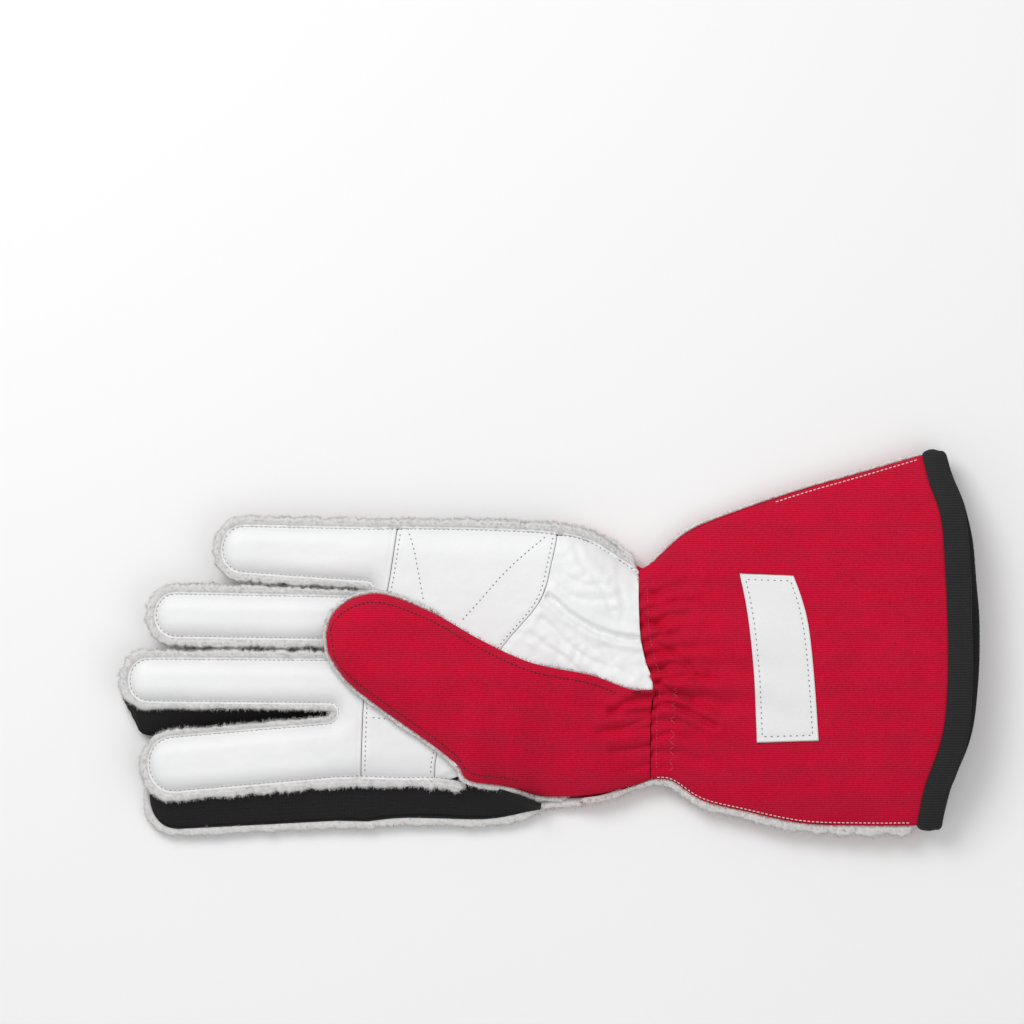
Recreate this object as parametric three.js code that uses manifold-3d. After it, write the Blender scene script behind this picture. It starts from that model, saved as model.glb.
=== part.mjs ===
// Racing glove for the left hand, lying palm up with its thumb folded over the palm.
// Millimetres. +X runs to the mouth of the cuff, +Y to the little finger's side, +Z out of the palm.
import * as THREE from 'three';
import { mergeVertices } from 'three/addons/utils/BufferGeometryUtils.js';
import Module from 'manifold-3d';

const wasm = await Module();
wasm.setup();

// Driving sizes of the whole glove
const HAND_LENGTH = 219.2;       // tip of the middle finger to the wrist seam
const HAND_WIDTH = 133;          // outer side to the thumb side, over the index sidewall
const CUFF_LENGTH = 141.3;       // wrist seam to the mouth
const MOUTH_WIDTH = 165.5;       // the mouth of the cuff, laid flat
const HAND_SHIFT = 15;           // the hand's middle line lies this far to the thumb side of the cuff's

// Heights above the surface that the glove lies on
const PALM_SEAM_HEIGHT = 13;     // outside seam round the palm leather
const BACK_SEAM_HEIGHT = 3.2;    // outside seam round the back
const FINGER_CROWN = 4.2;        // palm leather of a finger above its seam
const PALM_CROWN = 4.4;          // palm leather above its seam
const WRIST_SEAM_HEIGHT = 8;     // where the palm half and the back half meet at the wrist
const MOUTH_SEAM_HEIGHT = 12;    // and at the mouth
const WRIST_CROWN = 9;           // gathered palm half above its seam at the wrist
const MOUTH_CROWN = 14;          // and at the mouth
const THUMB_REST_HEIGHT = 18.4;  // underside of the thumb over the palm
const THUMB_SEAM_HEIGHT = 22;    // outside seam round the tip of the thumb
const THUMB_CROWN = 8.5;         // back of the thumb above its seam

// Walls, seams and clearances
const LEATHER = 1.7;
const KNIT = 1.7;
const SIDE_KNIT = 1.5;
const EDGE_THICKNESS = 1.4;      // raw edge of an outside seam
const EDGE_WIDTH = 3.2;          // how far the raw edge stands out
const CUFF_EDGE_WIDTH = 4.4;
const GAP = 0.3;                 // neighbouring pieces keep this clear of each other
const SIDE_GAP = 0.85;           // a side wall stays this far under the seam that it is sewn into
const STRIP_THICKNESS = 0.6;     // strip and badge on the back of the cuff
const LABEL_THICKNESS = 0.7;
const BINDING_WIDTH = 10.5;
const BINDING_THICKNESS = 4;
const BINDING_STEP = 4.5;        // the back half's mouth reaches this far past the palm half's
const STRIP_WIDTH = 10;
const BADGE_WIDTH = 12.6;
const GATHER_DEPTH = 1.5;        // ruffles of the gathered wrist
const GATHERS = 9;
const CREASE_DEPTH = 1.6;        // main creases of the heel and the thumb's root

// Grid steps of the sheets
const FINGER_ROWS = 9;
const FINGER_TIP_ROWS = 4;
const FINGER_TAPER = 2.4;
const THUMB_ROWS = 14;

const WRIST_X = (HAND_LENGTH - CUFF_LENGTH) / 2;
const FLAT_LIFT = STRIP_THICKNESS + GAP;

// Places are shares: along the hand from the wrist seam to the tips, and across it from its middle line
const hand = ([along, across]) => new THREE.Vector2(
  WRIST_X - along * HAND_LENGTH,
  across * HAND_WIDTH - HAND_SHIFT,
);
// and along the cuff from the wrist seam to the mouth, and across it
const cuff = ([along, across]) => new THREE.Vector2(
  WRIST_X + along * CUFF_LENGTH,
  across * MOUTH_WIDTH,
);

// Fingers: middle of the tip and of the root, and half the width there, for the palm side and the back
const FINGERS = {
  little: {
    palm: { tip: [0.81, 0.41], tipHalf: 0.077, root: [0.5, 0.386], rootHalf: 0.09 },
    back: { tip: [0.808, 0.418], tipHalf: 0.074, root: [0.5, 0.392], rootHalf: 0.088 },
  },
  ring: {
    palm: { tip: [0.937, 0.201], tipHalf: 0.074, root: [0.54, 0.189], rootHalf: 0.073 },
    back: { tip: [0.935, 0.199], tipHalf: 0.078, root: [0.54, 0.178], rootHalf: 0.082 },
  },
  middle: {
    palm: { tip: [0.987, -0.004], tipHalf: 0.073, root: [0.56, -0.01], rootHalf: 0.074 },
    back: { tip: [0.985, -0.045], tipHalf: 0.084, root: [0.56, -0.056], rootHalf: 0.092 },
  },
  index: {
    palm: { tip: [0.95, -0.276], tipHalf: 0.092, root: [0.57, -0.222], rootHalf: 0.091 },
    back: { tip: [0.946, -0.386], tipHalf: 0.094, root: [0.57, -0.35], rootHalf: 0.098 },
  },
};
const FINGER_ORDER = ['little', 'ring', 'middle', 'index'];
// How far along the hand each crotch lies, on the palm side and on the back
const PALM_CROTCHES = [0.53, 0.588, 0.602];
const BACK_CROTCHES = [0.53, 0.588, 0.588];

// Seams and outlines of the hand, as shares from the outer side to the thumb side
const KNUCKLE_SEAM = [[0.472, 0.478], [0.492, 0.271], [0.523, 0.087], [0.536, -0.058], [0.542, -0.314]];
const CURVED_SEAM = [[0.167, 0.461], [0.178, 0.372], [0.201, 0.245], [0.268, 0.11], [0.316, -0.007],
  [0.374, -0.134], [0.398, -0.24], [0.402, -0.314]];
const THUMB_FOLD = [[0.402, -0.314], [0.362, -0.31], [0.2, -0.19], [0.15, -0.06], [0.105, 0.018],
  [0.03, -0.024], [-0.012, -0.028]];
const HEEL_SIDE = [[0.167, 0.461], [0.102, 0.435], [0.052, 0.384], [0.012, 0.34]];
const WRIST_SEAM = [[0.012, 0.34], [0.013, 0.246], [0.01, 0.135], [0, 0.055], [-0.015, -0.035],
  [-0.01, -0.13], [-0.01, -0.318]];
const BACK_TOP_SEAM = [[0.414, 0.487], [0.46, 0.245], [0.492, -0.007], [0.523, -0.235]];
const BACK_LOW_SEAM = [[0.182, 0.482], [0.192, 0.245], [0.205, -0.07], [0.224, -0.42]];
const THUMB_SIDE = [[0.575, -0.465], [0.508, -0.443], [0.431, -0.434], [0.316, -0.443], [0.224, -0.42]];
const THUMB_SIDE_LOW = [[0.224, -0.42], [0.192, -0.396], [0.086, -0.378], [0.01, -0.332], [-0.019, -0.32]];
const OUTER_SIDE_LOW = [[0.182, 0.482], [0.14, 0.47], [0.08, 0.43], [0.04, 0.385], [0, 0.345]];

// Thumb: its edge towards the fingers' middle, and its edge towards the thumb side, from wrist to tip
const THUMB_INNER_EDGE = [[-0.015, -0.035], [0.03, -0.032], [0.105, 0.012], [0.22, 0.053], [0.316, 0.125],
  [0.393, 0.198], [0.469, 0.252], [0.517, 0.267], [0.561, 0.249], [0.594, 0.204], [0.607, 0.144]];
const THUMB_OUTER_EDGE = [[-0.01, -0.318], [0.086, -0.362], [0.192, -0.372], [0.259, -0.34],
  [0.335, -0.318], [0.36, -0.266], [0.412, -0.197], [0.489, -0.108], [0.565, -0.01], [0.603, 0.081]];
// Height of the thumb's seam: share of the way from the hand's own height to THUMB_SEAM_HEIGHT
const THUMB_RISE = [
  { along: -0.02, inner: 0, outer: 0 },
  { along: 0.08, inner: 0.05, outer: 0.02 },
  { along: 0.14, inner: 0.58, outer: 0.05 },
  { along: 0.2, inner: 0.66, outer: 0.1 },
  { along: 0.26, inner: 0.75, outer: 0.45 },
  { along: 0.34, inner: 0.85, outer: 0.84 },
  { along: 0.42, inner: 0.95, outer: 0.95 },
  { along: 0.62, inner: 1, outer: 1 },
];

// Long sides of the cuff and its mouth, as shares of the cuff
const CUFF_OUTER_SIDE = [[-0.01, 0.192], [0.045, 0.221], [0.134, 0.284], [0.282, 0.335], [0.461, 0.386],
  [0.639, 0.429], [0.82, 0.474]];
const CUFF_THUMB_SIDE = [[0.012, -0.336], [0.074, -0.34], [0.163, -0.39], [0.282, -0.418], [0.461, -0.452],
  [0.639, -0.46], [0.805, -0.462]];
const MOUTH_LINE = [[0.82, 0.474], [0.84, 0.4], [0.87, 0.322], [0.882, 0.208], [0.891, 0.005],
  [0.887, -0.15], [0.87, -0.25], [0.825, -0.363], [0.805, -0.462]];

const lerp = THREE.MathUtils.lerp;
const clamp = THREE.MathUtils.clamp;
const smoothstep = (x, low, high) => THREE.MathUtils.smoothstep(x, low, high);
const bump = (distance, width) => Math.exp(-((distance / width) ** 2));
const steps = (count, make) => Array.from({ length: count + 1 }, (_, i) => make(i / count, i));

// A row of a table, worked out between its rows
function rowAt(rows, key, column, value) {
  const last = rows.length - 1;
  if (value <= rows[0][key]) return rows[0][column];
  if (value >= rows[last][key]) return rows[last][column];
  const i = rows.findIndex((row) => row[key] > value);
  const share = (value - rows[i - 1][key]) / (rows[i][key] - rows[i - 1][key]);
  return lerp(rows[i - 1][column], rows[i][column], share * share * (3 - 2 * share));
}

// A smooth line through placed points, called with 0 at its start and 1 at its end
function line(points, place) {
  const curve = new THREE.SplineCurve(points.map(place));
  return (t) => curve.getPointAt(clamp(t, 0, 1));
}

// A sheet between four border lines. The two sides are drawn out to meet the corners.
function patch(start, end, left, right) {
  const corners = [start(0), start(1), end(0), end(1)];
  const reach = (side, from, to) => {
    const slip = [from.clone().sub(side(0)), to.clone().sub(side(1))];
    return (t) => side(t).addScaledVector(slip[0], 1 - t).addScaledVector(slip[1], t);
  };
  const leftSide = reach(left, corners[0], corners[2]);
  const rightSide = reach(right, corners[1], corners[3]);
  return (u, v) => {
    const point = new THREE.Vector2();
    point.addScaledVector(start(u), 1 - v).addScaledVector(end(u), v);
    point.addScaledVector(leftSide(v), 1 - u).addScaledVector(rightSide(v), u);
    point.addScaledVector(corners[0], -(1 - u) * (1 - v)).addScaledVector(corners[1], -u * (1 - v));
    point.addScaledVector(corners[2], -(1 - u) * v).addScaledVector(corners[3], -u * v);
    return point;
  };
}

// The rounded section of a stuffed sheet: 1 along its middle and 0 at its edges, for u from -1 to 1
const dome = (u) => Math.max(0, 1 - Math.abs(u) ** 2.6) ** 0.6;
// The same for a sheet that lies flat over its middle
const FLAT_SHARE = 0.55;
const flatDome = (u) => dome(Math.max(0, (Math.abs(u) - FLAT_SHARE) / (1 - FLAT_SHARE)));

// A closed solid from two grids of points with the same number of rows and columns
function solidBetween(front, rear, closedRing = false) {
  const rows = front.length;
  const columns = front[0].length;
  const positions = [];
  const index = [];
  for (const grid of [front, rear]) {
    for (const row of grid) {
      for (const p of row) positions.push(p.x, p.y, p.z);
    }
  }
  const at = (side, i, j) => side * rows * columns + i * columns + j;
  const quad = (a, b, c, d) => index.push(a, b, c, a, c, d);
  const lastRow = closedRing ? rows : rows - 1;
  for (let i = 0; i < lastRow; i += 1) {
    const next = (i + 1) % rows;
    for (let j = 0; j < columns - 1; j += 1) {
      quad(at(0, i, j), at(0, next, j), at(0, next, j + 1), at(0, i, j + 1));
      quad(at(1, i, j), at(1, i, j + 1), at(1, next, j + 1), at(1, next, j));
    }
    quad(at(0, i, 0), at(1, i, 0), at(1, next, 0), at(0, next, 0));
    const edge = columns - 1;
    quad(at(0, i, edge), at(0, next, edge), at(1, next, edge), at(1, i, edge));
  }
  if (!closedRing) {
    for (let j = 0; j < columns - 1; j += 1) {
      quad(at(0, 0, j), at(0, 0, j + 1), at(1, 0, j + 1), at(1, 0, j));
      const end = rows - 1;
      quad(at(0, end, j), at(1, end, j), at(1, end, j + 1), at(0, end, j + 1));
    }
  }
  return solidOf(positions, index);
}

// A manifold from positions and triangles, turned inside out where it has to be
function solidOf(positions, index) {
  let volume = 0;
  const corner = (k) => new THREE.Vector3().fromArray(positions, index[k] * 3);
  for (let k = 0; k < index.length; k += 3) {
    volume += corner(k).dot(corner(k + 1).cross(corner(k + 2)));
  }
  if (volume < 0) index.reverse();
  return new wasm.Manifold(new wasm.Mesh({
    numProp: 3,
    vertProperties: new Float32Array(positions),
    triVerts: new Uint32Array(index),
  }));
}

// A sheet of one thickness behind a grid of outer points. side is 1 where the inside lies below.
// sides and tip name the rims that are cut square to the hand's plane, so that the next piece can stand
// under them. The first and last rows are cut upright, to lie against the panel across the seam.
function shell(grid, wall, side, { sides = true, tip = false } = {}) {
  const last = grid.length - 1;
  const edge = grid[0].length - 1;
  const inner = grid.map((row, i) => row.map((p, j) => {
    if (sides && (j === 0 || j === edge)) {
      return p.clone().addScaledVector(inwards(p, row[j === 0 ? 1 : edge - 1]), wall);
    }
    if (tip && i === last) return p.clone().addScaledVector(inwards(p, grid[last - 1][j]), wall);
    if (i === 0 || i === last) return p.clone().setZ(p.z - side * wall);
    const du = grid[i][Math.min(j + 1, edge)].clone().sub(grid[i][Math.max(j - 1, 0)]);
    const dv = grid[i + 1][j].clone().sub(grid[i - 1][j]);
    const normal = du.cross(dv).normalize();
    return p.clone().addScaledVector(normal, normal.z * side > 0 ? -wall : wall);
  }));
  return solidBetween(grid, inner);
}

// The level direction from one point towards another
const inwards = (from, to) => to.clone().sub(from).setZ(0).normalize();

const union = (solids) => solids.reduce((sum, solid) => sum.add(solid));

// The side walls' height along the hand: the two seams close on each other at the wrist
const shareAlong = (x) => (WRIST_X - x) / HAND_LENGTH;
const closing = (x) => smoothstep(shareAlong(x), 0.02, 0.17);
const palmSeam = (x) => lerp(WRIST_SEAM_HEIGHT + GAP / 2, PALM_SEAM_HEIGHT, closing(x));
const backSeam = (x) => lerp(WRIST_SEAM_HEIGHT - GAP / 2, BACK_SEAM_HEIGHT, closing(x));
const cuffSeam = (x) => lerp(WRIST_SEAM_HEIGHT, MOUTH_SEAM_HEIGHT, clamp((x - WRIST_X) / CUFF_LENGTH, 0, 1));

// Fingers: a tapering form with a round tip. s runs from the root (0) to the tip (1), u across (-1 to 1)
function fingerPoint(finger, side, s, u) {
  const { tip, tipHalf, root, rootHalf } = FINGERS[finger][side];
  const start = hand(root);
  const end = hand(tip);
  const direction = end.clone().sub(start);
  const length = direction.length();
  direction.normalize();
  const across = new THREE.Vector2(-direction.y, direction.x).negate();
  if (across.y > 0) across.negate();
  const round = 1 - (tipHalf * HAND_WIDTH) / length;
  const inTip = clamp((s - round) / (1 - round), 0, 1);
  const taper = Math.max(0.16, Math.sqrt(Math.max(0, 1 - inTip ** FINGER_TAPER)));
  const half = lerp(rootHalf, tipHalf, s) * HAND_WIDTH * taper;
  return start.addScaledVector(direction, s * length).addScaledVector(across, u * half);
}

// Steps along a finger, closer together where its tip rounds
const FINGER_STEPS = [
  ...steps(FINGER_ROWS - FINGER_TIP_ROWS - 1, (t) => t * 0.84),
  ...steps(FINGER_TIP_ROWS, (t) => lerp(0.84, 1, 1 - (1 - t) ** 1.7)).slice(1),
];
const FINGER_ACROSS = [-1, -0.86, -0.5, 0, 0.5, 0.86, 1];
const tipFade = (s) => Math.sqrt(Math.max(0, 1 - clamp((s - 0.82) / 0.18, 0, 1) ** 2.4));

function fingerSheet(finger, side) {
  const wall = side === 'palm' ? LEATHER : KNIT;
  const grid = FINGER_STEPS.map((s) => FINGER_ACROSS.map((u) => {
    const p = fingerPoint(finger, side, s, u);
    const swell = dome(u) * tipFade(s);
    const z = side === 'palm'
      ? PALM_SEAM_HEIGHT + FINGER_CROWN * swell
      : BACK_SEAM_HEIGHT * (1 - flatDome(u) * tipFade(s));
    return new THREE.Vector3(p.x, p.y, z);
  }));
  return shell(grid, wall, side === 'palm' ? 1 : -1, { sides: true, tip: true });
}

// Valleys between the fingers run a little way into the palm and the back
const VALLEYS = FINGER_ORDER.slice(1).map((name, i) => {
  const before = fingerPoint(FINGER_ORDER[i], 'palm', 0.04, 1);
  return before.add(fingerPoint(name, 'palm', 0.04, -1)).multiplyScalar(0.5);
});
const VALLEY_LENGTH = 0.09 * HAND_LENGTH;
const VALLEY_WIDTH = 0.035 * HAND_WIDTH;
const valley = (p) => VALLEYS.reduce((sum, at) => sum
  + bump(p.y - at.y, VALLEY_WIDTH) * (1 - smoothstep(p.x - at.x, -VALLEY_LENGTH / 4, VALLEY_LENGTH)), 0);

// Creases of the heel: from, to, and depth as a share of CREASE_DEPTH
const HEEL_CREASES = [
  { from: [0.172, 0.245], to: [0.048, 0.128], depth: 1 },
  { from: [0.1, 0.36], to: [0.03, 0.22], depth: 0.5 },
  { from: [0.15, 0.12], to: [0.06, 0.02], depth: 0.5 },
];
function heelCrease(p) {
  return HEEL_CREASES.reduce((sum, { from, to, depth }) => {
    const a = hand(from);
    const run = hand(to).sub(a);
    const t = clamp(p.clone().sub(a).dot(run) / run.lengthSq(), 0, 1);
    const off = p.distanceTo(a.addScaledVector(run, t));
    return sum + depth * CREASE_DEPTH * bump(off, 0.016 * HAND_WIDTH);
  }, 0);
}

// Height of the palm leather over a place, with u from 0 at the outer side to 1 at the thumb side
function palmHeight(p, u, open) {
  const edge = open ? Math.max(-1, 2 * u - 1) : 2 * u - 1;
  const swell = open && u > 0.5 ? 1 : dome(edge);
  const crown = lerp(WRIST_CROWN, PALM_CROWN, closing(p.x));
  const rise = crown * swell - 0.62 * PALM_CROWN * swell * Math.min(1, valley(p));
  return palmSeam(p.x) + rise - heelCrease(p) * swell;
}

function palmPanel(start, end, left, right, columns, rows, open, level) {
  const at = patch(start, end, left, right);
  const grid = steps(rows, (v) => steps(columns, (t) => {
    const u = 0.5 - 0.5 * Math.cos(Math.PI * t);
    const p = at(u, v);
    return new THREE.Vector3(p.x, p.y, palmHeight(p, u, open));
  }));
  return shell(grid, LEATHER, 1, level);
}

// A straight border between two points
const straight = (a, b) => (t) => a.clone().lerp(b, t);
// The same line moved square to itself towards the cuff, to leave the gap of a seam
const moved = (curve, distance) => (t) => {
  const run = curve(Math.min(1, t + 0.01)).sub(curve(Math.max(0, t - 0.01))).normalize();
  return curve(t).add(new THREE.Vector2(-run.y, run.x).multiplyScalar(distance));
};

// Everything on the cuff's side of a seam, as a cutter
function beyond(curve, reach) {
  const outline = steps(16, (t) => curve(t));
  const first = outline[0];
  const last = outline[outline.length - 1];
  const margin = HAND_WIDTH;
  outline.unshift(new THREE.Vector2(first.x, first.y + margin));
  outline.push(new THREE.Vector2(last.x, last.y - margin));
  outline.push(new THREE.Vector2(reach, last.y - margin));
  outline.push(new THREE.Vector2(reach, first.y + margin));
  let prism = new THREE.ExtrudeGeometry(new THREE.Shape(outline), { depth: HAND_WIDTH, bevelEnabled: false });
  prism.translate(0, 0, -HAND_WIDTH / 2);
  prism.deleteAttribute('normal');
  prism.deleteAttribute('uv');
  prism = mergeVertices(prism);
  return solidOf([...prism.attributes.position.array], [...prism.index.array]);
}

const knuckleSeam = line(KNUCKLE_SEAM, hand);
const curvedSeam = line(CURVED_SEAM, hand);
const wristSeam = line(WRIST_SEAM, hand);
const backTopSeam = line(BACK_TOP_SEAM, hand);
const backLowSeam = line(BACK_LOW_SEAM, hand);

// The strip of palm leather that joins the finger roots, up to the knuckle seam
function fingerPalm() {
  const roots = line([[0.495, 0.466], [0.515, 0.34], [0.552, 0.26], [0.575, 0.13], [0.59, 0],
    [0.59, -0.12], [0.585, -0.312]], hand);
  const over = moved(knuckleSeam, 2);
  const strip = palmPanel(roots, over, straight(roots(0), over(0)), straight(roots(1), over(1)), 16, 2,
    false, { sides: true });
  const fingers = FINGER_ORDER.map((name) => fingerSheet(name, 'palm'));
  return union([strip, ...fingers]).subtract(beyond(moved(knuckleSeam, -GAP / 2), WRIST_X + CUFF_LENGTH));
}

function palmPatch() {
  const start = moved(knuckleSeam, GAP / 2);
  const end = moved(curvedSeam, -GAP / 2);
  return palmPanel(start, end, straight(start(0), end(0)), straight(start(1), end(1)), 12, 6,
    false, { sides: true });
}

function palmHeel() {
  const start = moved(curvedSeam, GAP / 2);
  const seam = line([...WRIST_SEAM.slice(0, 4), [-0.01, 0.01], [-0.014, -0.028]], hand);
  const end = moved(seam, -GAP / 2);
  const left = line(HEEL_SIDE, hand);
  const right = line(THUMB_FOLD, hand);
  return palmPanel(start, end, left, right, 12, 9, true, {});
}

// The back lies flat on the surface and turns up to its seam at the sides
function backPanelSheet(start, end, left, right, columns, rows, lift, level) {
  const at = patch(start, end, left, right);
  const grid = steps(rows, (v) => steps(columns, (t) => {
    const u = 0.5 - 0.5 * Math.cos(Math.PI * t);
    const p = at(u, v);
    const flat = lift * (1 - smoothstep(shareAlong(p.x), 0, 0.12));
    const z = lerp(backSeam(p.x), flat, flatDome(2 * u - 1));
    return new THREE.Vector3(p.x, p.y, z);
  }));
  return shell(grid, KNIT, -1, level);
}

function backFingers() {
  const roots = line([[0.495, 0.474], [0.515, 0.34], [0.552, 0.262], [0.575, 0.115], [0.58, -0.03],
    [0.575, -0.147]], hand);
  const over = moved(backTopSeam, 2);
  const strip = backPanelSheet(roots, over, straight(roots(0), over(0)), straight(roots(1), over(1)), 12, 3,
    0, { sides: true });
  const fingers = FINGER_ORDER.slice(0, 3).map((name) => fingerSheet(name, 'back'));
  return union([strip, ...fingers]).subtract(beyond(moved(backTopSeam, -GAP / 2), WRIST_X + CUFF_LENGTH));
}

function backPanel() {
  const start = line([...BACK_TOP_SEAM, [0.55, -0.26], [0.585, -0.33], [0.575, -0.44]], hand);
  const end = moved(backLowSeam, -GAP / 2);
  const left = straight(start(0), end(0));
  const right = line([...THUMB_SIDE.slice(0, 4), [0.222, -0.418]].map((row, i) => (
    i === 0 ? [0.575, -0.44] : row)), hand);
  const sheet = backPanelSheet(moved(start, GAP / 2), end, left, right, 14, 9, 0, { sides: true });
  return union([sheet, fingerSheet('index', 'back')]);
}

// The cuff: two knit halves that bulge away from each other, gathered at the wrist
const ruffle = (u, x) => {
  const fade = 1 - smoothstep((x - WRIST_X) / CUFF_LENGTH, 0.03, 0.42);
  return GATHER_DEPTH * fade * Math.sin(2 * Math.PI * GATHERS * u) * Math.sin(Math.PI * u);
};

function cuffHeight(p, u) {
  const share = clamp((p.x - WRIST_X) / CUFF_LENGTH, 0, 1);
  const crown = lerp(WRIST_CROWN, MOUTH_CROWN, smoothstep(share, 0, 0.9));
  return cuffSeam(p.x) + GAP / 2 + crown * dome(2 * u - 1) + ruffle(u, p.x);
}

const mouthLine = line(MOUTH_LINE, cuff);
const cuffOuterSide = line(CUFF_OUTER_SIDE, cuff);
const cuffThumbSide = line(CUFF_THUMB_SIDE, cuff);
const cuffPatch = patch(moved(wristSeam, GAP / 2), mouthLine, cuffOuterSide, cuffThumbSide);

function gauntletPalm() {
  const grid = steps(11, (v) => steps(26, (t) => {
    const u = lerp(t, 0.5 - 0.5 * Math.cos(Math.PI * t), 0.6);
    const p = cuffPatch(u, v);
    return new THREE.Vector3(p.x, p.y, cuffHeight(p, u));
  }));
  return shell(grid, KNIT, 1, { sides: true });
}

const backOuterSide = line([...OUTER_SIDE_LOW.map(hand), ...CUFF_OUTER_SIDE.slice(1).map(cuff)], (p) => p);
const backThumbSide = line([...THUMB_SIDE_LOW.slice(0, 4).map(hand), ...CUFF_THUMB_SIDE.slice(1).map(cuff)],
  (p) => p);

// The back half of the mouth reaches further than the palm half, but not at the two corners
const mouthStep = (u) => BINDING_STEP * Math.sin(Math.PI * u);
const backMouth = (u) => mouthLine(u).add(new THREE.Vector2(mouthStep(clamp(u, 0, 1)), 0));

function gauntletBack() {
  const start = moved(backLowSeam, GAP / 2);
  const end = moved(backMouth, -GAP);
  const at = patch(start, end, backOuterSide, backThumbSide);
  const grid = steps(14, (v) => steps(14, (t) => {
    const u = 0.5 - 0.5 * Math.cos(Math.PI * t);
    const p = at(u, v);
    const seam = p.x < WRIST_X ? backSeam(p.x) : cuffSeam(p.x) - GAP / 2;
    const flat = FLAT_LIFT * smoothstep(shareAlong(WRIST_X * 2 - p.x), -0.12, 0);
    const z = lerp(seam, flat, flatDome(2 * u - 1));
    return new THREE.Vector3(p.x, p.y, z);
  }));
  return shell(grid, KNIT, -1, { sides: true });
}

// The thumb: knit on top, leather underneath, hollow between them and open to the hand at its root
const thumbRise = (x, edge) => rowAt(THUMB_RISE, 'along', edge, shareAlong(x));
const palmTop = (x) => palmSeam(x) + lerp(WRIST_CROWN, PALM_CROWN, closing(x));
const thumbInnerHeight = (x) => lerp(palmTop(x) + GAP, THUMB_SEAM_HEIGHT, thumbRise(x, 'inner'));
const thumbOuterHeight = (x) => lerp(backSeam(x) + 4 * GAP, THUMB_SEAM_HEIGHT, thumbRise(x, 'outer'));

const thumbRoot = moved(line(WRIST_SEAM.slice(4), hand), -GAP / 2);

function thumbBack() {
  const inner = line(THUMB_INNER_EDGE, hand);
  const outer = line(THUMB_OUTER_EDGE, hand);
  const at = patch(thumbRoot, straight(inner(1), outer(1)), inner, outer);
  const grid = steps(THUMB_ROWS, (v) => steps(8, (t) => {
    const u = 0.5 - 0.5 * Math.cos(Math.PI * t);
    const p = at(u, v);
    const edge = lerp(thumbInnerHeight(p.x), thumbOuterHeight(p.x), u);
    const fade = Math.sqrt(1 - smoothstep(v, 0.9, 1) * 0.8);
    const full = edge + THUMB_CROWN * dome(2 * u - 1) * fade;
    const wrist = WRIST_SEAM_HEIGHT + GAP + WRIST_CROWN * dome(lerp(0.2, 1, u));
    return new THREE.Vector3(p.x, p.y, lerp(Math.max(wrist, edge), full, smoothstep(v, 0, 0.4)));
  }));
  return shell(grid, KNIT, 1, { tip: true });
}

function thumbPalm() {
  const inner = line([[0.14, 0.026], ...THUMB_INNER_EDGE.slice(3)], hand);
  const outer = moved(line([[0.364, -0.276], [0.38, -0.236], ...THUMB_OUTER_EDGE.slice(6)], hand), -GAP);
  const fold = line([[0.14, 0.026], [0.2, -0.12], [0.3, -0.24], [0.364, -0.276]], hand);
  const at = patch(fold, straight(inner(1), outer(1)), inner, outer);
  const grid = steps(12, (v) => steps(8, (t) => {
    const u = 0.5 - 0.5 * Math.cos(Math.PI * t);
    const p = at(u, v);
    const low = palmTop(p.x) + GAP;
    const edge = Math.max(low, lerp(thumbInnerHeight(p.x), thumbOuterHeight(p.x), u) - 4 * GAP);
    const rest = Math.max(THUMB_REST_HEIGHT * smoothstep(v, 0, 0.2), low);
    const z = lerp(edge, Math.min(edge, rest), dome(2 * u - 1));
    return new THREE.Vector3(p.x, p.y, z);
  }));
  return shell(grid, LEATHER, -1, { tip: true });
}

// Side walls: knit ribbons that stand between the palm seam and the back seam
const outward = (path, i) => {
  const run = path[Math.min(i + 1, path.length - 1)].clone().sub(path[Math.max(i - 1, 0)]).normalize();
  return new THREE.Vector2(run.y, -run.x);
};

function sideWall(palmPath, backPath, side, tuck) {
  const grid = palmPath.map((p, i) => {
    const low = backPath[i];
    const top = palmSeam(p.x) - SIDE_GAP - tuck(i) * LEATHER;
    const bottom = backSeam(low.x) + SIDE_GAP + GAP + tuck(i) * KNIT;
    return [new THREE.Vector3(p.x, p.y, top), new THREE.Vector3(low.x, low.y, bottom)];
  });
  const rear = grid.map((row, i) => {
    const way = outward(palmPath, i).multiplyScalar(-side * SIDE_KNIT);
    return row.map((p) => new THREE.Vector3(p.x + way.x, p.y + way.y, p.z));
  });
  return solidBetween(grid, rear);
}

const SIDE_STEPS = [1, 0.985, 0.95, 0.9, 0.84, 0.6, 0.35, 0.1];
const sidePath = (finger, side, u) => SIDE_STEPS.map((s) => fingerPoint(finger, side, s, u));

// From the tip of one finger, round the crotch, to the tip of the next
function fourchette(first, second) {
  const path = (side) => {
    const one = sidePath(first, side, 1);
    const two = sidePath(second, side, -1).reverse();
    const tipOne = fingerPoint(first, side, 1, 0.12);
    const tipTwo = fingerPoint(second, side, 1, -0.12);
    const bend = one[one.length - 1].clone().lerp(two[0], 0.5);
    bend.x += 0.02 * HAND_LENGTH;
    return [tipOne, ...one, bend, ...two, tipTwo];
  };
  const palm = path('palm');
  const middle = (palm.length - 1) / 2;
  const tuck = (i) => (Math.abs(i - middle) < 1.5 ? 1 : 0);
  return sideWall(palm, path('back'), 1, tuck);
}

function littleSidewall() {
  const path = (side, tail) => [
    fingerPoint('little', side, 1, -0.12),
    ...sidePath('little', side, -1),
    ...tail.map(hand),
  ];
  const palmTail = [[0.46, 0.475], [0.4, 0.471], [0.3, 0.464], [0.2, 0.458], [0.15, 0.45], [0.11, 0.432]];
  const backTail = [[0.46, 0.483], [0.4, 0.484], [0.3, 0.483], [0.2, 0.481], [0.15, 0.47], [0.11, 0.448]];
  const palm = path('palm', palmTail);
  return sideWall(palm, path('back', backTail), -1, () => 0);
}

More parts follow.
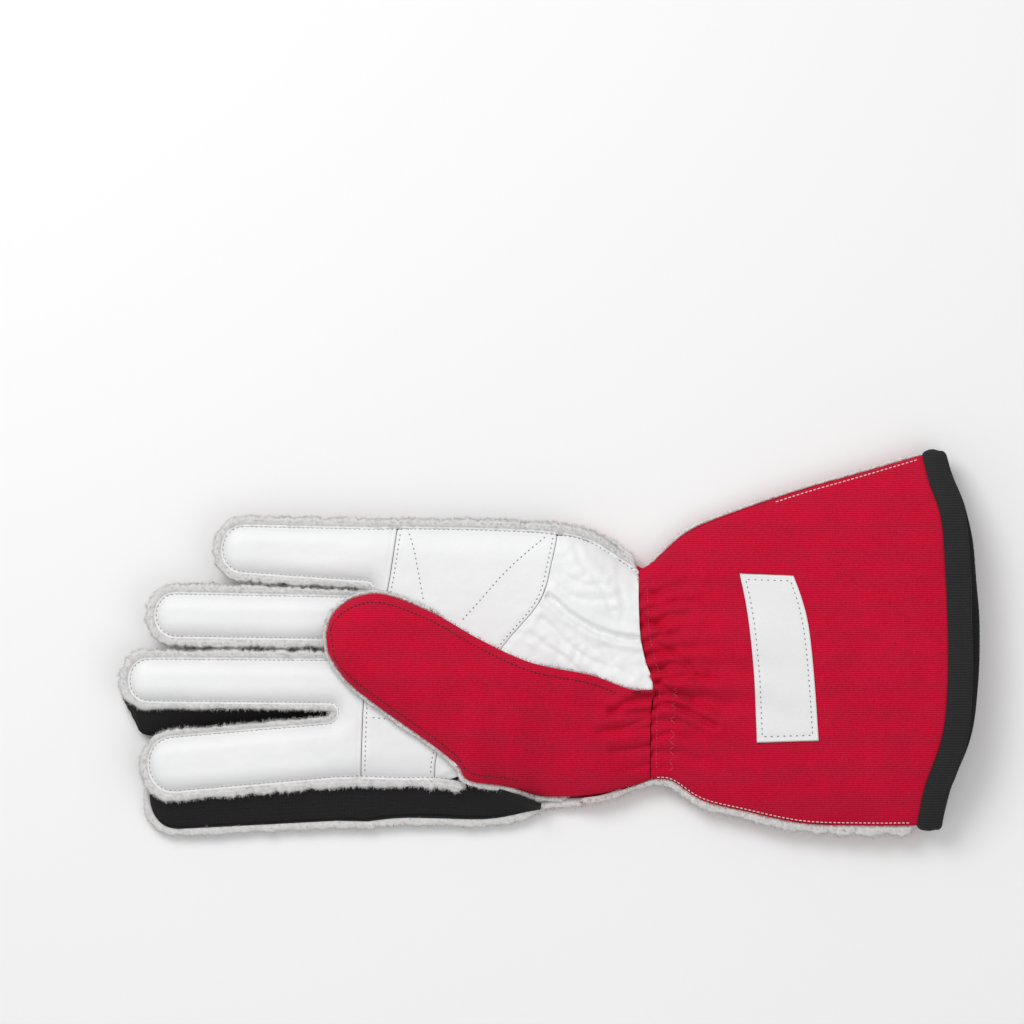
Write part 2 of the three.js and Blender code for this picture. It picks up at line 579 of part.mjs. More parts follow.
function indexSidewall() {
  const path = (side, tail) => [
    fingerPoint('index', side, 1, 0.12),
    ...sidePath('index', side, 1),
    ...tail.map(hand),
  ];
  const palmTail = [[0.54, -0.316], [0.47, -0.319], [0.4, -0.32], [0.36, -0.322], [0.3, -0.345],
    [0.24, -0.375], [0.2, -0.4]];
  const backTail = [[0.54, -0.452], [0.47, -0.438], [0.4, -0.437], [0.36, -0.441], [0.3, -0.441],
    [0.24, -0.426], [0.2, -0.414]];
  const palm = path('palm', palmTail);
  const low = palm.length - 4;
  return sideWall(palm, path('back', backTail), 1, (i) => (i > low ? 0.8 * (i - low) / 3 : 0));
}

// Raw white edges that stand out from the outside seams
function rawEdge(path, side, height, widthAt, clear = GAP) {
  const near = [];
  const far = [];
  path.forEach((p, i) => {
    const way = outward(path, i).multiplyScalar(side);
    const z = height(p, i);
    const reach = clear + widthAt(p, i);
    near.push([new THREE.Vector3(p.x + way.x * clear, p.y + way.y * clear, z),
      new THREE.Vector3(p.x + way.x * reach, p.y + way.y * reach, z)]);
    far.push(near[i].map((q) => q.clone().setZ(q.z - EDGE_THICKNESS)));
  });
  return solidBetween(near, far);
}

// Steps up one side of a finger for its raw edge, and the share of the finger where the crotch lies
const EDGE_STEPS = [0.3, 0.55, 0.75, 0.84, 0.89, 0.93, 0.965, 0.99, 1];

// How wide the raw edge is: narrower where the next finger's edge is close
function edgeWidth(finger, side, s, u) {
  const next = FINGER_ORDER[FINGER_ORDER.indexOf(finger) + u];
  if (!next) return EDGE_WIDTH;
  const mine = fingerPoint(finger, side, s, u);
  const { root, rootHalf, tip, tipHalf } = FINGERS[next][side];
  const share = clamp((root[0] - shareAlong(mine.x)) / (root[0] - tip[0]), 0, 1);
  const edge = hand([0, lerp(root[1], tip[1], share) + u * lerp(rootHalf, tipHalf, share)]).y;
  const room = clamp(0.42 * Math.abs(edge - mine.y) - GAP, 0.4, 0.85 * EDGE_WIDTH);
  return lerp(room, EDGE_WIDTH, smoothstep(s, 0.88, 1));
}

// The whole line of a seam round the four fingers, from the outer side to the thumb side
function seamPath(side, crotches, outerTail, thumbTail) {
  const path = outerTail.map((row) => ({ p: hand(row), width: 0.6 * EDGE_WIDTH }));
  FINGER_ORDER.forEach((name, i) => {
    const crotchSteps = [crotches[i - 1], crotches[i]].map((along) => {
      const { root, tip } = FINGERS[name][side];
      return along ? (root[0] - along) / (root[0] - tip[0]) : 0.06;
    });
    [-1, 1].forEach((u, k) => {
      const s0 = crotchSteps[k];
      const up = [s0, ...EDGE_STEPS.map((s) => lerp(s0, 1, s))];
      const along = u < 0 ? up : up.reverse();
      along.forEach((s) => path.push({
        p: fingerPoint(name, side, s, u),
        width: edgeWidth(name, side, s, u),
      }));
    });
  });
  path.push(...thumbTail.map((row) => ({ p: hand(row), width: 0.8 * EDGE_WIDTH })));
  return path;
}

function seamEdge(path, height) {
  return rawEdge(path.map(({ p }) => p), 1, height, (p, i) => path[i].width);
}

function palmSeamEdge() {
  const outerTail = [[0.1, 0.439], [0.15, 0.459], [0.2, 0.467], [0.3, 0.474], [0.47, 0.482]];
  const thumbTail = [[0.54, -0.318], [0.47, -0.321], [0.4, -0.322], [0.37, -0.325]];
  const path = seamPath('palm', PALM_CROTCHES, outerTail, thumbTail);
  return seamEdge(path, (p) => palmSeam(p.x) + EDGE_THICKNESS / 2);
}

function backSeamEdge() {
  const outerTail = [[0.1, 0.45], [0.15, 0.476], [0.2, 0.487], [0.3, 0.49], [0.42, 0.492], [0.47, 0.486]];
  const thumbTail = [[0.53, -0.452], [0.47, -0.441], [0.4, -0.442], [0.3, -0.446], [0.2, -0.412],
    [0.1, -0.393]];
  const path = seamPath('back', BACK_CROTCHES, outerTail, thumbTail);
  return seamEdge(path, (p) => backSeam(p.x) + EDGE_THICKNESS / 2);
}

// The thumb's raw edge runs from its root on the thumb side, round the tip, to its upper edge
function thumbSeamEdge() {
  const outer = line(THUMB_OUTER_EDGE, hand);
  const inner = line(THUMB_INNER_EDGE, hand);
  const rows = [
    ...steps(7, (t) => ({ p: outer(lerp(7, THUMB_ROWS, t) / THUMB_ROWS), height: thumbOuterHeight })),
    ...steps(6, (t) => ({ p: inner(lerp(THUMB_ROWS, 8, t) / THUMB_ROWS), height: thumbInnerHeight })),
  ];
  const width = () => 0.5 * EDGE_WIDTH;
  const top = (p, i) => rows[i].height(p.x) + EDGE_THICKNESS / 4;
  return rawEdge(rows.map(({ p }) => p), -1, top, width, 3 * GAP);
}

// Long seams of the cuff: the thumb side's raw edge is turned to the palm and scalloped by its stitches
const SCALLOPS = 16;

// The outermost line of both halves at the side u of the cuff, from start to end along X
function cuffSideLine(backSide, u, start, end, count) {
  const across = (points, x) => {
    const i = clamp(points.findIndex((p) => p.x > x), 1, points.length - 1);
    const share = (x - points[i - 1].x) / (points[i].x - points[i - 1].x);
    return lerp(points[i - 1].y, points[i].y, clamp(share, 0, 1));
  };
  const back = steps(60, backSide);
  const palm = steps(11, (v) => cuffPatch(u, v));
  const outermost = u < 0.5 ? Math.max : Math.min;
  return steps(count, (t) => {
    const x = lerp(start, end, t);
    const y = across(back, x);
    return new THREE.Vector2(x, x > palm[0].x ? outermost(y, across(palm, x)) : y);
  });
}

function cuffEdgeThumbSide() {
  const start = WRIST_X - 0.07 * HAND_LENGTH;
  const path = cuffSideLine(backThumbSide, 1, start, cuffThumbSide(1).x - GAP, 48);
  const width = (p, i) => CUFF_EDGE_WIDTH * (0.8 + 0.2 * Math.abs(Math.sin((SCALLOPS * Math.PI * i) / 48)));
  return rawEdge(path, 1, (p) => cuffSeam(p.x) + EDGE_THICKNESS / 2, width, 2 * GAP);
}

// and the outer side's is turned to the back
function cuffEdgeOuterSide() {
  const path = cuffSideLine(backOuterSide, 0, WRIST_X + CUFF_EDGE_WIDTH, cuffOuterSide(1).x - GAP, 30);
  return rawEdge(path, -1, (p) => cuffSeam(p.x) - GAP, () => 0.45 * CUFF_EDGE_WIDTH, 2 * GAP);
}

// The binding: one loop round the mouth, folded over the edges of both halves
const BINDING_SECTION = [[0, -1], [0.85, -1], [1, -0.3], [1, 0.3], [0.85, 1], [0, 1]];
const BINDING_STEPS = 20;

function binding() {
  const centres = [];
  const across = (k) => 0.5 - 0.5 * Math.cos((Math.PI * k) / BINDING_STEPS);
  const low = BINDING_THICKNESS / 2;
  for (let k = 0; k < 2 * BINDING_STEPS; k += 1) {
    const palmHalf = k <= BINDING_STEPS;
    const u = palmHalf ? across(k) : across(2 * BINDING_STEPS - k);
    const p = palmHalf ? mouthLine(u) : backMouth(u);
    const z = palmHalf
      ? cuffHeight(p, u) - KNIT / 2
      : lerp(cuffSeam(p.x), low, flatDome(2 * u - 1));
    centres.push(new THREE.Vector3(p.x + (palmHalf ? GAP : 3 * GAP), p.y, z));
  }
  const rings = centres.map((centre, k) => {
    const count = centres.length;
    const run = centres[(k + 1) % count].clone().sub(centres[(k + count - 1) % count]).setX(0).normalize();
    const out = new THREE.Vector3(0, run.z, -run.y);
    return BINDING_SECTION.map(([along, thick]) => {
      const point = centre.clone().addScaledVector(out, (thick * BINDING_THICKNESS) / 2);
      return point.setX(point.x + along * BINDING_WIDTH);
    });
  });
  const positions = rings.flat().flatMap((p) => [p.x, p.y, p.z]);
  const sides = BINDING_SECTION.length;
  const index = [];
  rings.forEach((ring, k) => {
    const next = (k + 1) % rings.length;
    for (let j = 0; j < sides; j += 1) {
      const following = (j + 1) % sides;
      const [a, b, c, d] = [k * sides + j, next * sides + j, next * sides + following, k * sides + following];
      index.push(a, b, c, a, c, d);
    }
  });
  return solidOf(positions, index);
}

// Trim on the cuff, laid on its surface: shares across and along the cuff at the four corners
const LABEL_CORNERS = { wrist: [[0.21, 0.31], [0.774, 0.37]], mouth: [[0.253, 0.485], [0.753, 0.57]] };

function cuffLabel() {
  const share = (corner) => new THREE.Vector2(...corner);
  const [wristOuter, wristThumb] = LABEL_CORNERS.wrist.map(share);
  const [mouthOuter, mouthThumb] = LABEL_CORNERS.mouth.map(share);
  const sheet = (lift) => steps(4, (v) => steps(12, (t) => {
    const at = wristOuter.clone().lerp(wristThumb, t).lerp(mouthOuter.clone().lerp(mouthThumb, t), v);
    const p = cuffPatch(at.x, at.y);
    return new THREE.Vector3(p.x, p.y, cuffHeight(p, at.x) + lift);
  }));
  return solidBetween(sheet(2 * GAP + LABEL_THICKNESS), sheet(2 * GAP));
}

// Strip and badge lie under the flat back of the cuff, between it and the surface it rests on
const STRIP_LINE = [[0.21, 0.26], [0.175, 0], [0.15, -0.3]];
const BADGE_LINE = [[0.33, 0.18], [0.3, -0.02], [0.275, -0.25]];

function flatTrim(route, width, corner) {
  const path = line(route, cuff);
  const sheet = (z) => steps(20, (t) => {
    const p = path(t);
    const run = path(Math.min(1, t + 0.02)).sub(path(Math.max(0, t - 0.02))).normalize();
    const way = new THREE.Vector2(-run.y, run.x);
    const end = Math.max(0, (Math.abs(2 * t - 1) - 1 + corner) / Math.max(corner, GAP));
    const half = (width / 2) * (1 - 0.5 * end ** 3);
    return [-1, 0, 1].map((side) => new THREE.Vector3(
      p.x + way.x * side * half,
      p.y + way.y * side * half,
      z,
    ));
  });
  return solidBetween(sheet(0), sheet(STRIP_THICKNESS));
}

function node(name, solid, colour, roughness, metalness = 0) {
  const mesh = solid.getMesh();
  const geometry = new THREE.BufferGeometry();
  geometry.setAttribute('position', new THREE.BufferAttribute(new Float32Array(mesh.vertProperties), 3));
  geometry.setIndex(new THREE.BufferAttribute(new Uint32Array(mesh.triVerts), 1));
  const material = new THREE.MeshStandardMaterial({ color: colour, roughness, metalness });
  const piece = new THREE.Mesh(geometry, material);
  piece.name = name;
  return piece;
}

const RED = 0xc80532;
const BLACK = 0x2d2a2b;
const WHITE = 0xf0f0f0;

const glove = new THREE.Group();
glove.add(node('finger_palm', fingerPalm(), WHITE, 0.6));
glove.add(node('palm_patch', palmPatch(), WHITE, 0.6));
glove.add(node('palm_heel', palmHeel(), WHITE, 0.6));
glove.add(node('back_fingers', backFingers(), RED, 0.9));
glove.add(node('back_panel', backPanel(), BLACK, 0.9));
glove.add(node('gauntlet_palm', gauntletPalm(), RED, 0.9));
glove.add(node('gauntlet_back', gauntletBack(), RED, 0.9));
glove.add(node('thumb_back', thumbBack(), RED, 0.9));
glove.add(node('thumb_palm', thumbPalm(), WHITE, 0.6));
glove.add(node('fourchette_little_ring', fourchette('little', 'ring'), BLACK, 0.9));
glove.add(node('fourchette_ring_middle', fourchette('ring', 'middle'), BLACK, 0.9));
glove.add(node('fourchette_middle_index', fourchette('middle', 'index'), BLACK, 0.9));
glove.add(node('little_sidewall', littleSidewall(), BLACK, 0.9));
glove.add(node('index_sidewall', indexSidewall(), BLACK, 0.9));
glove.add(node('palm_seam_edge', palmSeamEdge(), WHITE, 0.95));
glove.add(node('back_seam_edge', backSeamEdge(), WHITE, 0.95));
glove.add(node('thumb_seam_edge', thumbSeamEdge(), WHITE, 0.95));
glove.add(node('cuff_edge_thumb_side', cuffEdgeThumbSide(), WHITE, 0.95));
glove.add(node('cuff_edge_outer_side', cuffEdgeOuterSide(), WHITE, 0.95));
glove.add(node('binding', binding(), BLACK, 0.9));
glove.add(node('cuff_label', cuffLabel(), WHITE, 0.5));
glove.add(node('cuff_strip', flatTrim(STRIP_LINE, STRIP_WIDTH, 0), 0x151515, 0.25));
glove.add(node('cuff_badge', flatTrim(BADGE_LINE, BADGE_WIDTH, 0.1), 0xf0504a, 0.5));

export default glove;
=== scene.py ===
import math

import bpy
import numpy as np
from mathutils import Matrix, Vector, geometry


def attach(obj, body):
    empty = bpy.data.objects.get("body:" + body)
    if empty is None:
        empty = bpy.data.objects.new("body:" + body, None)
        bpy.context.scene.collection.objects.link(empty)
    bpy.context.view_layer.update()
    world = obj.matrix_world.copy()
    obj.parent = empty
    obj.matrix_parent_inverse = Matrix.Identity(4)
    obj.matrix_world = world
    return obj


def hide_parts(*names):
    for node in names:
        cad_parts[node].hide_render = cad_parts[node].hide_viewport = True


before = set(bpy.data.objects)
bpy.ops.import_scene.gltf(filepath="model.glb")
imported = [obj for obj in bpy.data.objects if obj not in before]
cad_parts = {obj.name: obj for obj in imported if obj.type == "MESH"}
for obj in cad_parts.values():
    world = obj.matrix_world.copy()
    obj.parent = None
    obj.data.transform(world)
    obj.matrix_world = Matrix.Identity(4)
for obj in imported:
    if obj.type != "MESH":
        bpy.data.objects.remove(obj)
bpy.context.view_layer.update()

# Sizes are in millimetres here, and meshes are made in metres
MM = 0.001

# The glove's driving sizes, as the frame has them
HAND_LENGTH = 219.2
HAND_WIDTH = 133.0
CUFF_LENGTH = 141.3
MOUTH_WIDTH = 165.5
HAND_SHIFT = 15.0
WRIST_X = (HAND_LENGTH - CUFF_LENGTH) / 2
PALM_SEAM = 13.0
BACK_SEAM = 3.2
FINGER_CROWN = 4.2
PALM_CROWN = 4.4
WRIST_SEAM_HEIGHT = 8.0
MOUTH_SEAM_HEIGHT = 12.0
WRIST_CROWN = 9.0
MOUTH_CROWN = 14.0
THUMB_REST_HEIGHT = 18.4
THUMB_SEAM_HEIGHT = 22.0
THUMB_CROWN = 8.5
BINDING_WIDTH = 10.5
BINDING_THICKNESS = 4.0
BINDING_STEP = 4.5
LEATHER = 1.3
KNIT = 1.5
SIDE_KNIT = 1.1
GAP = 0.3

# Places in the photographed frame are (right, down) in pixels, PIXEL millimetres each
PIXEL = 0.42
PIXEL_ORIGIN = (552, 642)
FRAME_CENTRE = (512, 512)
WEB_SPACE = [(150, 752), (345, 692)]
PATCH_SEAMS = [
    [(408, 527), (411, 537), (415, 550), (419, 572), (424, 600)],
    [(546, 536), (530, 549), (515, 562), (500, 577), (480, 600), (462, 620)],
    [(372, 716), (384, 717), (400, 719), (420, 722)],
]
LOOSE_FIBRES_FROM = (330, 0)
CAMERA_HEIGHT = 2.5
VIEW_WIDTH = 0.43
SENSOR = 36

# Shares along the hand and across it, as (along, across)
FINGERS = {
    "little": {"palm": ((0.81, 0.41), 0.077, (0.5, 0.386), 0.09),
               "back": ((0.808, 0.418), 0.074, (0.5, 0.392), 0.088)},
    "ring": {"palm": ((0.937, 0.201), 0.074, (0.54, 0.189), 0.073),
             "back": ((0.935, 0.199), 0.078, (0.54, 0.178), 0.082)},
    "middle": {"palm": ((0.987, -0.004), 0.073, (0.56, -0.01), 0.074),
               "back": ((0.985, -0.045), 0.084, (0.56, -0.056), 0.092)},
    "index": {"palm": ((0.95, -0.276), 0.092, (0.57, -0.222), 0.091),
              "back": ((0.946, -0.386), 0.094, (0.57, -0.35), 0.098)},
}
FINGER_ORDER = ["little", "ring", "middle", "index"]
PALM_CROTCHES = [0.53, 0.588, 0.602]
BACK_CROTCHES = [0.53, 0.588, 0.588]
KNUCKLE_SEAM = [(0.472, 0.478), (0.492, 0.271), (0.523, 0.087), (0.536, -0.058), (0.542, -0.314)]
CURVED_SEAM = [(0.167, 0.461), (0.178, 0.372), (0.201, 0.245), (0.268, 0.11), (0.316, -0.007),
               (0.374, -0.134), (0.398, -0.24), (0.402, -0.314)]
THUMB_FOLD = [(0.402, -0.314), (0.362, -0.31), (0.2, -0.19), (0.15, -0.06), (0.105, 0.0),
              (0.03, -0.06), (-0.012, -0.07)]
HEEL_SIDE = [(0.167, 0.461), (0.102, 0.435), (0.052, 0.384), (0.012, 0.34)]
WRIST_SEAM = [(0.012, 0.34), (0.013, 0.246), (0.01, 0.135), (0, 0.055), (-0.015, -0.035),
              (-0.01, -0.13), (-0.01, -0.318)]
HEEL_END = WRIST_SEAM[:4] + [(-0.01, 0.01), (-0.014, -0.028), (-0.012, -0.07)]
BACK_TOP_SEAM = [(0.414, 0.487), (0.46, 0.245), (0.492, -0.007), (0.523, -0.235)]
BACK_LOW_SEAM = [(0.182, 0.482), (0.192, 0.245), (0.205, -0.07), (0.224, -0.42)]
THUMB_SIDE = [(0.575, -0.465), (0.508, -0.443), (0.431, -0.434), (0.316, -0.443), (0.224, -0.42)]
THUMB_SIDE_LOW = [(0.224, -0.42), (0.192, -0.396), (0.086, -0.378), (0.01, -0.332), (-0.019, -0.32)]
OUTER_SIDE_LOW = [(0.182, 0.482), (0.14, 0.47), (0.08, 0.43), (0.04, 0.385), (0, 0.345)]
THUMB_INNER_EDGE = [(-0.015, -0.035), (0.03, -0.032), (0.105, 0.012), (0.22, 0.053), (0.316, 0.125),
                    (0.393, 0.198), (0.469, 0.252), (0.517, 0.267), (0.561, 0.249), (0.594, 0.204),
                    (0.607, 0.144)]
THUMB_OUTER_EDGE = [(-0.01, -0.318), (0.086, -0.362), (0.192, -0.372), (0.259, -0.34), (0.335, -0.318),
                    (0.36, -0.266), (0.412, -0.197), (0.489, -0.108), (0.565, -0.01), (0.603, 0.081)]
THUMB_RISE_AT = [-0.02, 0.08, 0.14, 0.2, 0.26, 0.34, 0.42, 0.62]
THUMB_RISE_INNER = [0, 0.05, 0.58, 0.66, 0.75, 0.85, 0.95, 1]
THUMB_RISE_OUTER = [0, 0.02, 0.05, 0.1, 0.45, 0.84, 0.95, 1]

# Shares along the cuff and across its mouth
CUFF_OUTER_SIDE = [(-0.01, 0.192), (0.045, 0.221), (0.134, 0.284), (0.282, 0.335), (0.461, 0.386),
                   (0.639, 0.429), (0.82, 0.474)]
CUFF_THUMB_SIDE = [(0.012, -0.336), (0.074, -0.34), (0.163, -0.39), (0.282, -0.418), (0.461, -0.452),
                   (0.639, -0.46), (0.805, -0.462)]
MOUTH_LINE = [(0.82, 0.474), (0.84, 0.4), (0.87, 0.322), (0.882, 0.208), (0.891, 0.005),
              (0.887, -0.15), (0.87, -0.25), (0.825, -0.363), (0.805, -0.462)]


# Plain maths on arrays

def lerp(a, b, t):
    return a + (b - a) * t


def smoothstep(x, low, high):
    t = np.clip((x - low) / (high - low), 0, 1)
    return t * t * (3 - 2 * t)


def bump(distance, width):
    return np.exp(-((distance / width) ** 2))


def dome(u):
    return np.maximum(0, 1 - np.abs(u) ** 2.6) ** 0.6


def flat_dome(u):
    return dome(np.maximum(0, (np.abs(u) - 0.55) / 0.45))


def hand(point):
    return np.array([WRIST_X - point[0] * HAND_LENGTH, point[1] * HAND_WIDTH - HAND_SHIFT])


def cuff(point):
    return np.array([WRIST_X + point[0] * CUFF_LENGTH, point[1] * MOUTH_WIDTH])


def noise_table(seed):
    return np.random.default_rng(seed).random((64, 64))


def noise(x, y, seed=1):
    """Smooth value noise from -1 to 1, one cell a unit."""
    table = noise_table(seed)
    xi, yi = np.floor(x).astype(int), np.floor(y).astype(int)
    fx, fy = x - xi, y - yi
    fx, fy = fx * fx * (3 - 2 * fx), fy * fy * (3 - 2 * fy)
    a = table[xi % 64, yi % 64]
    b = table[(xi + 1) % 64, yi % 64]
    c = table[xi % 64, (yi + 1) % 64]
    d = table[(xi + 1) % 64, (yi + 1) % 64]
    return 2 * lerp(lerp(a, b, fx), lerp(c, d, fx), fy) - 1


def layered(x, y, seed=1, layers=3):
    total = 0
    for k in range(layers):
        total = total + noise(x * 2 ** k, y * 2 ** k, seed + k) / 2 ** k
    return total


class Line:
    """A smooth line through points, called with shares of its length."""

    def __init__(self, points, place=hand, step=24):
        p = np.array([place(q) for q in points])
        before = np.vstack([p[:1], p[:-1]])
        after = np.vstack([p[2:], p[-1:]])
        rows = []
        for i in range(len(p) - 1):
            t = np.linspace(0, 1, step, endpoint=False)[:, None]
            p0, p1, p2, p3 = before[i], p[i], p[i + 1], after[i] if i < len(after) else p[-1]
            v0, v1 = (p2 - p0) * 0.5, (p3 - p1) * 0.5
            rows.append((2 * p1 - 2 * p2 + v0 + v1) * t ** 3
                        + (-3 * p1 + 3 * p2 - 2 * v0 - v1) * t ** 2 + v0 * t + p1)
        self.points = np.vstack(rows + [p[-1:]])
        gaps = np.linalg.norm(np.diff(self.points, axis=0), axis=1)
        self.length = gaps.sum()
        self.share = np.concatenate([[0], np.cumsum(gaps)]) / self.length

    def __call__(self, t):
        t = np.clip(t, 0, 1)
        return np.stack([np.interp(t, self.share, self.points[:, k]) for k in (0, 1)], -1)


class Moved:
    """The same line moved square to itself, towards the cuff."""

    def __init__(self, line, distance):
        self.line, self.distance = line, distance

    def __call__(self, t):
        t = np.asarray(t, float)
        run = self.line(np.minimum(1, t + 0.01)) - self.line(np.maximum(0, t - 0.01))
        run /= np.linalg.norm(run, axis=-1, keepdims=True)
        return self.line(t) + np.stack([-run[..., 1], run[..., 0]], -1) * self.distance


def straight(a, b):
    return lambda t: lerp(a, b, np.asarray(t, float)[..., None])


def patch(start, end, left, right):
    """A sheet between four border lines; its two sides are drawn out to meet the corners."""
    c = [start(0.0), start(1.0), end(0.0), end(1.0)]

    def drawn(side, a, b):
        slip = [a - side(0.0), b - side(1.0)]
        return lambda t: side(t) + (1 - t)[..., None] * slip[0] + t[..., None] * slip[1]

    left_side, right_side = drawn(left, c[0], c[2]), drawn(right, c[1], c[3])

    def at(u, v):
        uu, vv = u[..., None], v[..., None]
        return (start(u) * (1 - vv) + end(u) * vv + left_side(v) * (1 - uu) + right_side(v) * uu
                - (1 - uu) * (1 - vv) * c[0] - uu * (1 - vv) * c[1] - (1 - uu) * vv * c[2] - uu * vv * c[3])

    return at


def share_along(x):
    return (WRIST_X - x) / HAND_LENGTH


def closing(x):
    return smoothstep(share_along(x), 0.02, 0.17)


def palm_seam(x):
    return lerp(WRIST_SEAM_HEIGHT + GAP / 2, PALM_SEAM, closing(x))


def back_seam(x):
    return lerp(WRIST_SEAM_HEIGHT - GAP / 2, BACK_SEAM, closing(x))


def cuff_seam(x):
    return lerp(WRIST_SEAM_HEIGHT, MOUTH_SEAM_HEIGHT, np.clip((x - WRIST_X) / CUFF_LENGTH, 0, 1))


def finger_point(finger, side, s, u):
    """A place on a finger: s from root to tip, u across from the outer side (-1) to the thumb side (1)."""
    s, u = np.asarray(s, float), np.asarray(u, float)
    tip, tip_half, root, root_half = FINGERS[finger][side]
    start, end = hand(root), hand(tip)
    run = end - start
    length = np.linalg.norm(run)
    run /= length
    across = np.array([-run[1], run[0]])
    if across[1] > 0:
        across = -across
    round_from = 1 - tip_half * HAND_WIDTH / length
    in_tip = np.clip((s - round_from) / (1 - round_from), 0, 1)
    taper = np.sqrt(np.maximum(0.0, 1 - in_tip ** 2.4))
    half = lerp(root_half, tip_half, s) * HAND_WIDTH * taper
    return start + run * (s * length)[..., None] + across * (u * half)[..., None]


def crotch_arc(a, b, count=9):
    """A round bend between two fingers, from a to b, that reaches towards the palm."""
    angle = np.linspace(0, math.pi, count + 2)[1:-1, None]
    reach = np.linalg.norm(b - a) / 2
    return (a + b) / 2 + (a - b) / 2 * np.cos(angle) + np.array([reach, 0]) * np.sin(angle)


def seam_path(side, crotches, outer_tail, thumb_tail, per_finger=70):
    """The seam round the four fingers, from the outer side to the thumb side."""
    rows = [Line(outer_tail)(np.linspace(0, 1, 40))]
    for i, name in enumerate(FINGER_ORDER):
        tip, _, root, _ = FINGERS[name][side]
        for k, u in ((i - 1, -1), (i, 1)):
            s0 = (root[0] - crotches[k]) / (root[0] - tip[0]) if 0 <= k < 3 else 0.06
            s = lerp(s0, 1, 1 - (1 - np.linspace(0, 1, per_finger)) ** 1.9)
            points = finger_point(name, side, s, np.full_like(s, u))
            if u < 0 and i > 0:
                rows.append(crotch_arc(rows[-1][-1], points[0]))
            rows.append(points if u < 0 else points[::-1])
    rows.append(Line(thumb_tail)(np.linspace(0, 1, 24)))
    return resample(np.vstack(rows), 0.8)


def resample(points, step):
    gaps = np.linalg.norm(np.diff(points, axis=0), axis=1)
    keep = np.concatenate([[True], gaps > 1e-6])
    points = points[keep]
    gaps = np.linalg.norm(np.diff(points, axis=0), axis=1)
    total = np.concatenate([[0], np.cumsum(gaps)])
    t = np.linspace(0, total[-1], max(3, int(total[-1] / step)))
    return np.stack([np.interp(t, total, points[:, k]) for k in range(points.shape[1])], -1)


def plan_outward(path, side):
    run = np.gradient(path[:, :2], axis=0)
    run /= np.maximum(np.linalg.norm(run, axis=1, keepdims=True), 1e-9)
    return np.stack([run[:, 1], -run[:, 0]], -1) * side


def distance_to(points, path):
    """Distance of each point to a polyline in the plane."""
    a, b = path[:-1, :2], path[1:, :2]
    run = b - a
    size = (run ** 2).sum(1)
    best = np.full(len(points), 1e9)
    for part in range(0, len(points), 4000):
        p = points[part:part + 4000, None, :2]
        t = np.clip(((p - a) * run).sum(2) / size, 0, 1)
        off = p - (a + t[..., None] * run)
        best[part:part + 4000] = np.sqrt((off ** 2).sum(2).min(1))
    return best


# Meshes

def make_object(name, vertices, faces, material, nodes=(), smooth=True):
    mesh = bpy.data.meshes.new(name)
    mesh.from_pydata((np.asarray(vertices) * MM).tolist(), [], [tuple(int(i) for i in f) for f in faces])
    mesh.validate()
    mesh.polygons.foreach_set("use_smooth", [smooth] * len(mesh.polygons))
    mesh.materials.append(material)
    piece = bpy.data.objects.new(name, mesh)
    bpy.context.collection.objects.link(piece)
    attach(piece, "root")
    if nodes:
        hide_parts(*nodes)
    return piece


def grid_faces(rows, columns, start=0, flip=False):
    i, j = np.meshgrid(np.arange(rows - 1), np.arange(columns - 1), indexing="ij")
    a = start + i * columns + j
    quads = np.stack([a, a + columns, a + columns + 1, a + 1], -1).reshape(-1, 4)
    return quads[:, ::-1] if flip else quads


def grid_normals(grid):
    du = np.gradient(grid, axis=1)
    dv = np.gradient(grid, axis=0)
    normal = np.cross(dv, du)
    return normal / np.maximum(np.linalg.norm(normal, axis=-1, keepdims=True), 1e-9)


def sheet_mesh(grid, wall, side):
    """A closed sheet behind a grid of outer points. side is 1 where the inside lies below."""
    rows, columns = grid.shape[:2]
    normal = grid_normals(grid)
    normal *= np.sign(np.where(normal[..., 2:] == 0, side, normal[..., 2:]) * side)
    for j, k in ((0, 1), (columns - 1, columns - 2)):
        way = grid[:, j] - grid[:, k]
        way[:, 2] = 0
        normal[:, j] = way / np.maximum(np.linalg.norm(way, axis=-1, keepdims=True), 1e-9)
    inner = grid - normal * wall
    vertices = np.vstack([grid.reshape(-1, 3), inner.reshape(-1, 3)])
    n = rows * columns
    faces = [grid_faces(rows, columns), grid_faces(rows, columns, n, True)]
    ring = np.concatenate([np.arange(columns), np.arange(1, rows) * columns + columns - 1,
                           np.arange(columns - 2, -1, -1) + (rows - 1) * columns,
                           np.arange(rows - 2, 0, -1) * columns])
    following = np.roll(ring, -1)
    faces.append(np.stack([ring, following, following + n, ring + n], -1))
    faces = np.vstack(faces)
    return vertices, outward_faces(vertices, faces)


def outward_faces(vertices, faces):
    tri = vertices[faces[:, [0, 1, 2]]]
    volume = np.einsum("ij,ij->i", tri[:, 0], np.cross(tri[:, 1], tri[:, 2])).sum()
    if faces.shape[1] == 4:
        tri = vertices[faces[:, [0, 2, 3]]]
        volume += np.einsum("ij,ij->i", tri[:, 0], np.cross(tri[:, 1], tri[:, 2])).sum()
    return faces if volume > 0 else faces[:, ::-1]


def ribbon_mesh(front, rear):
    """A closed solid between two grids with the same number of rows and columns."""
    rows, columns = front.shape[:2]
    vertices = np.vstack([front.reshape(-1, 3), rear.reshape(-1, 3)])
    n = rows * columns
    ring = np.concatenate([np.arange(columns), np.arange(1, rows) * columns + columns - 1,
                           np.arange(columns - 2, -1, -1) + (rows - 1) * columns,
                           np.arange(rows - 2, 0, -1) * columns])
    following = np.roll(ring, -1)
    faces = np.vstack([grid_faces(rows, columns), grid_faces(rows, columns, n, True),
                       np.stack([ring, following, following + n, ring + n], -1)])
    return vertices, outward_faces(vertices, faces)


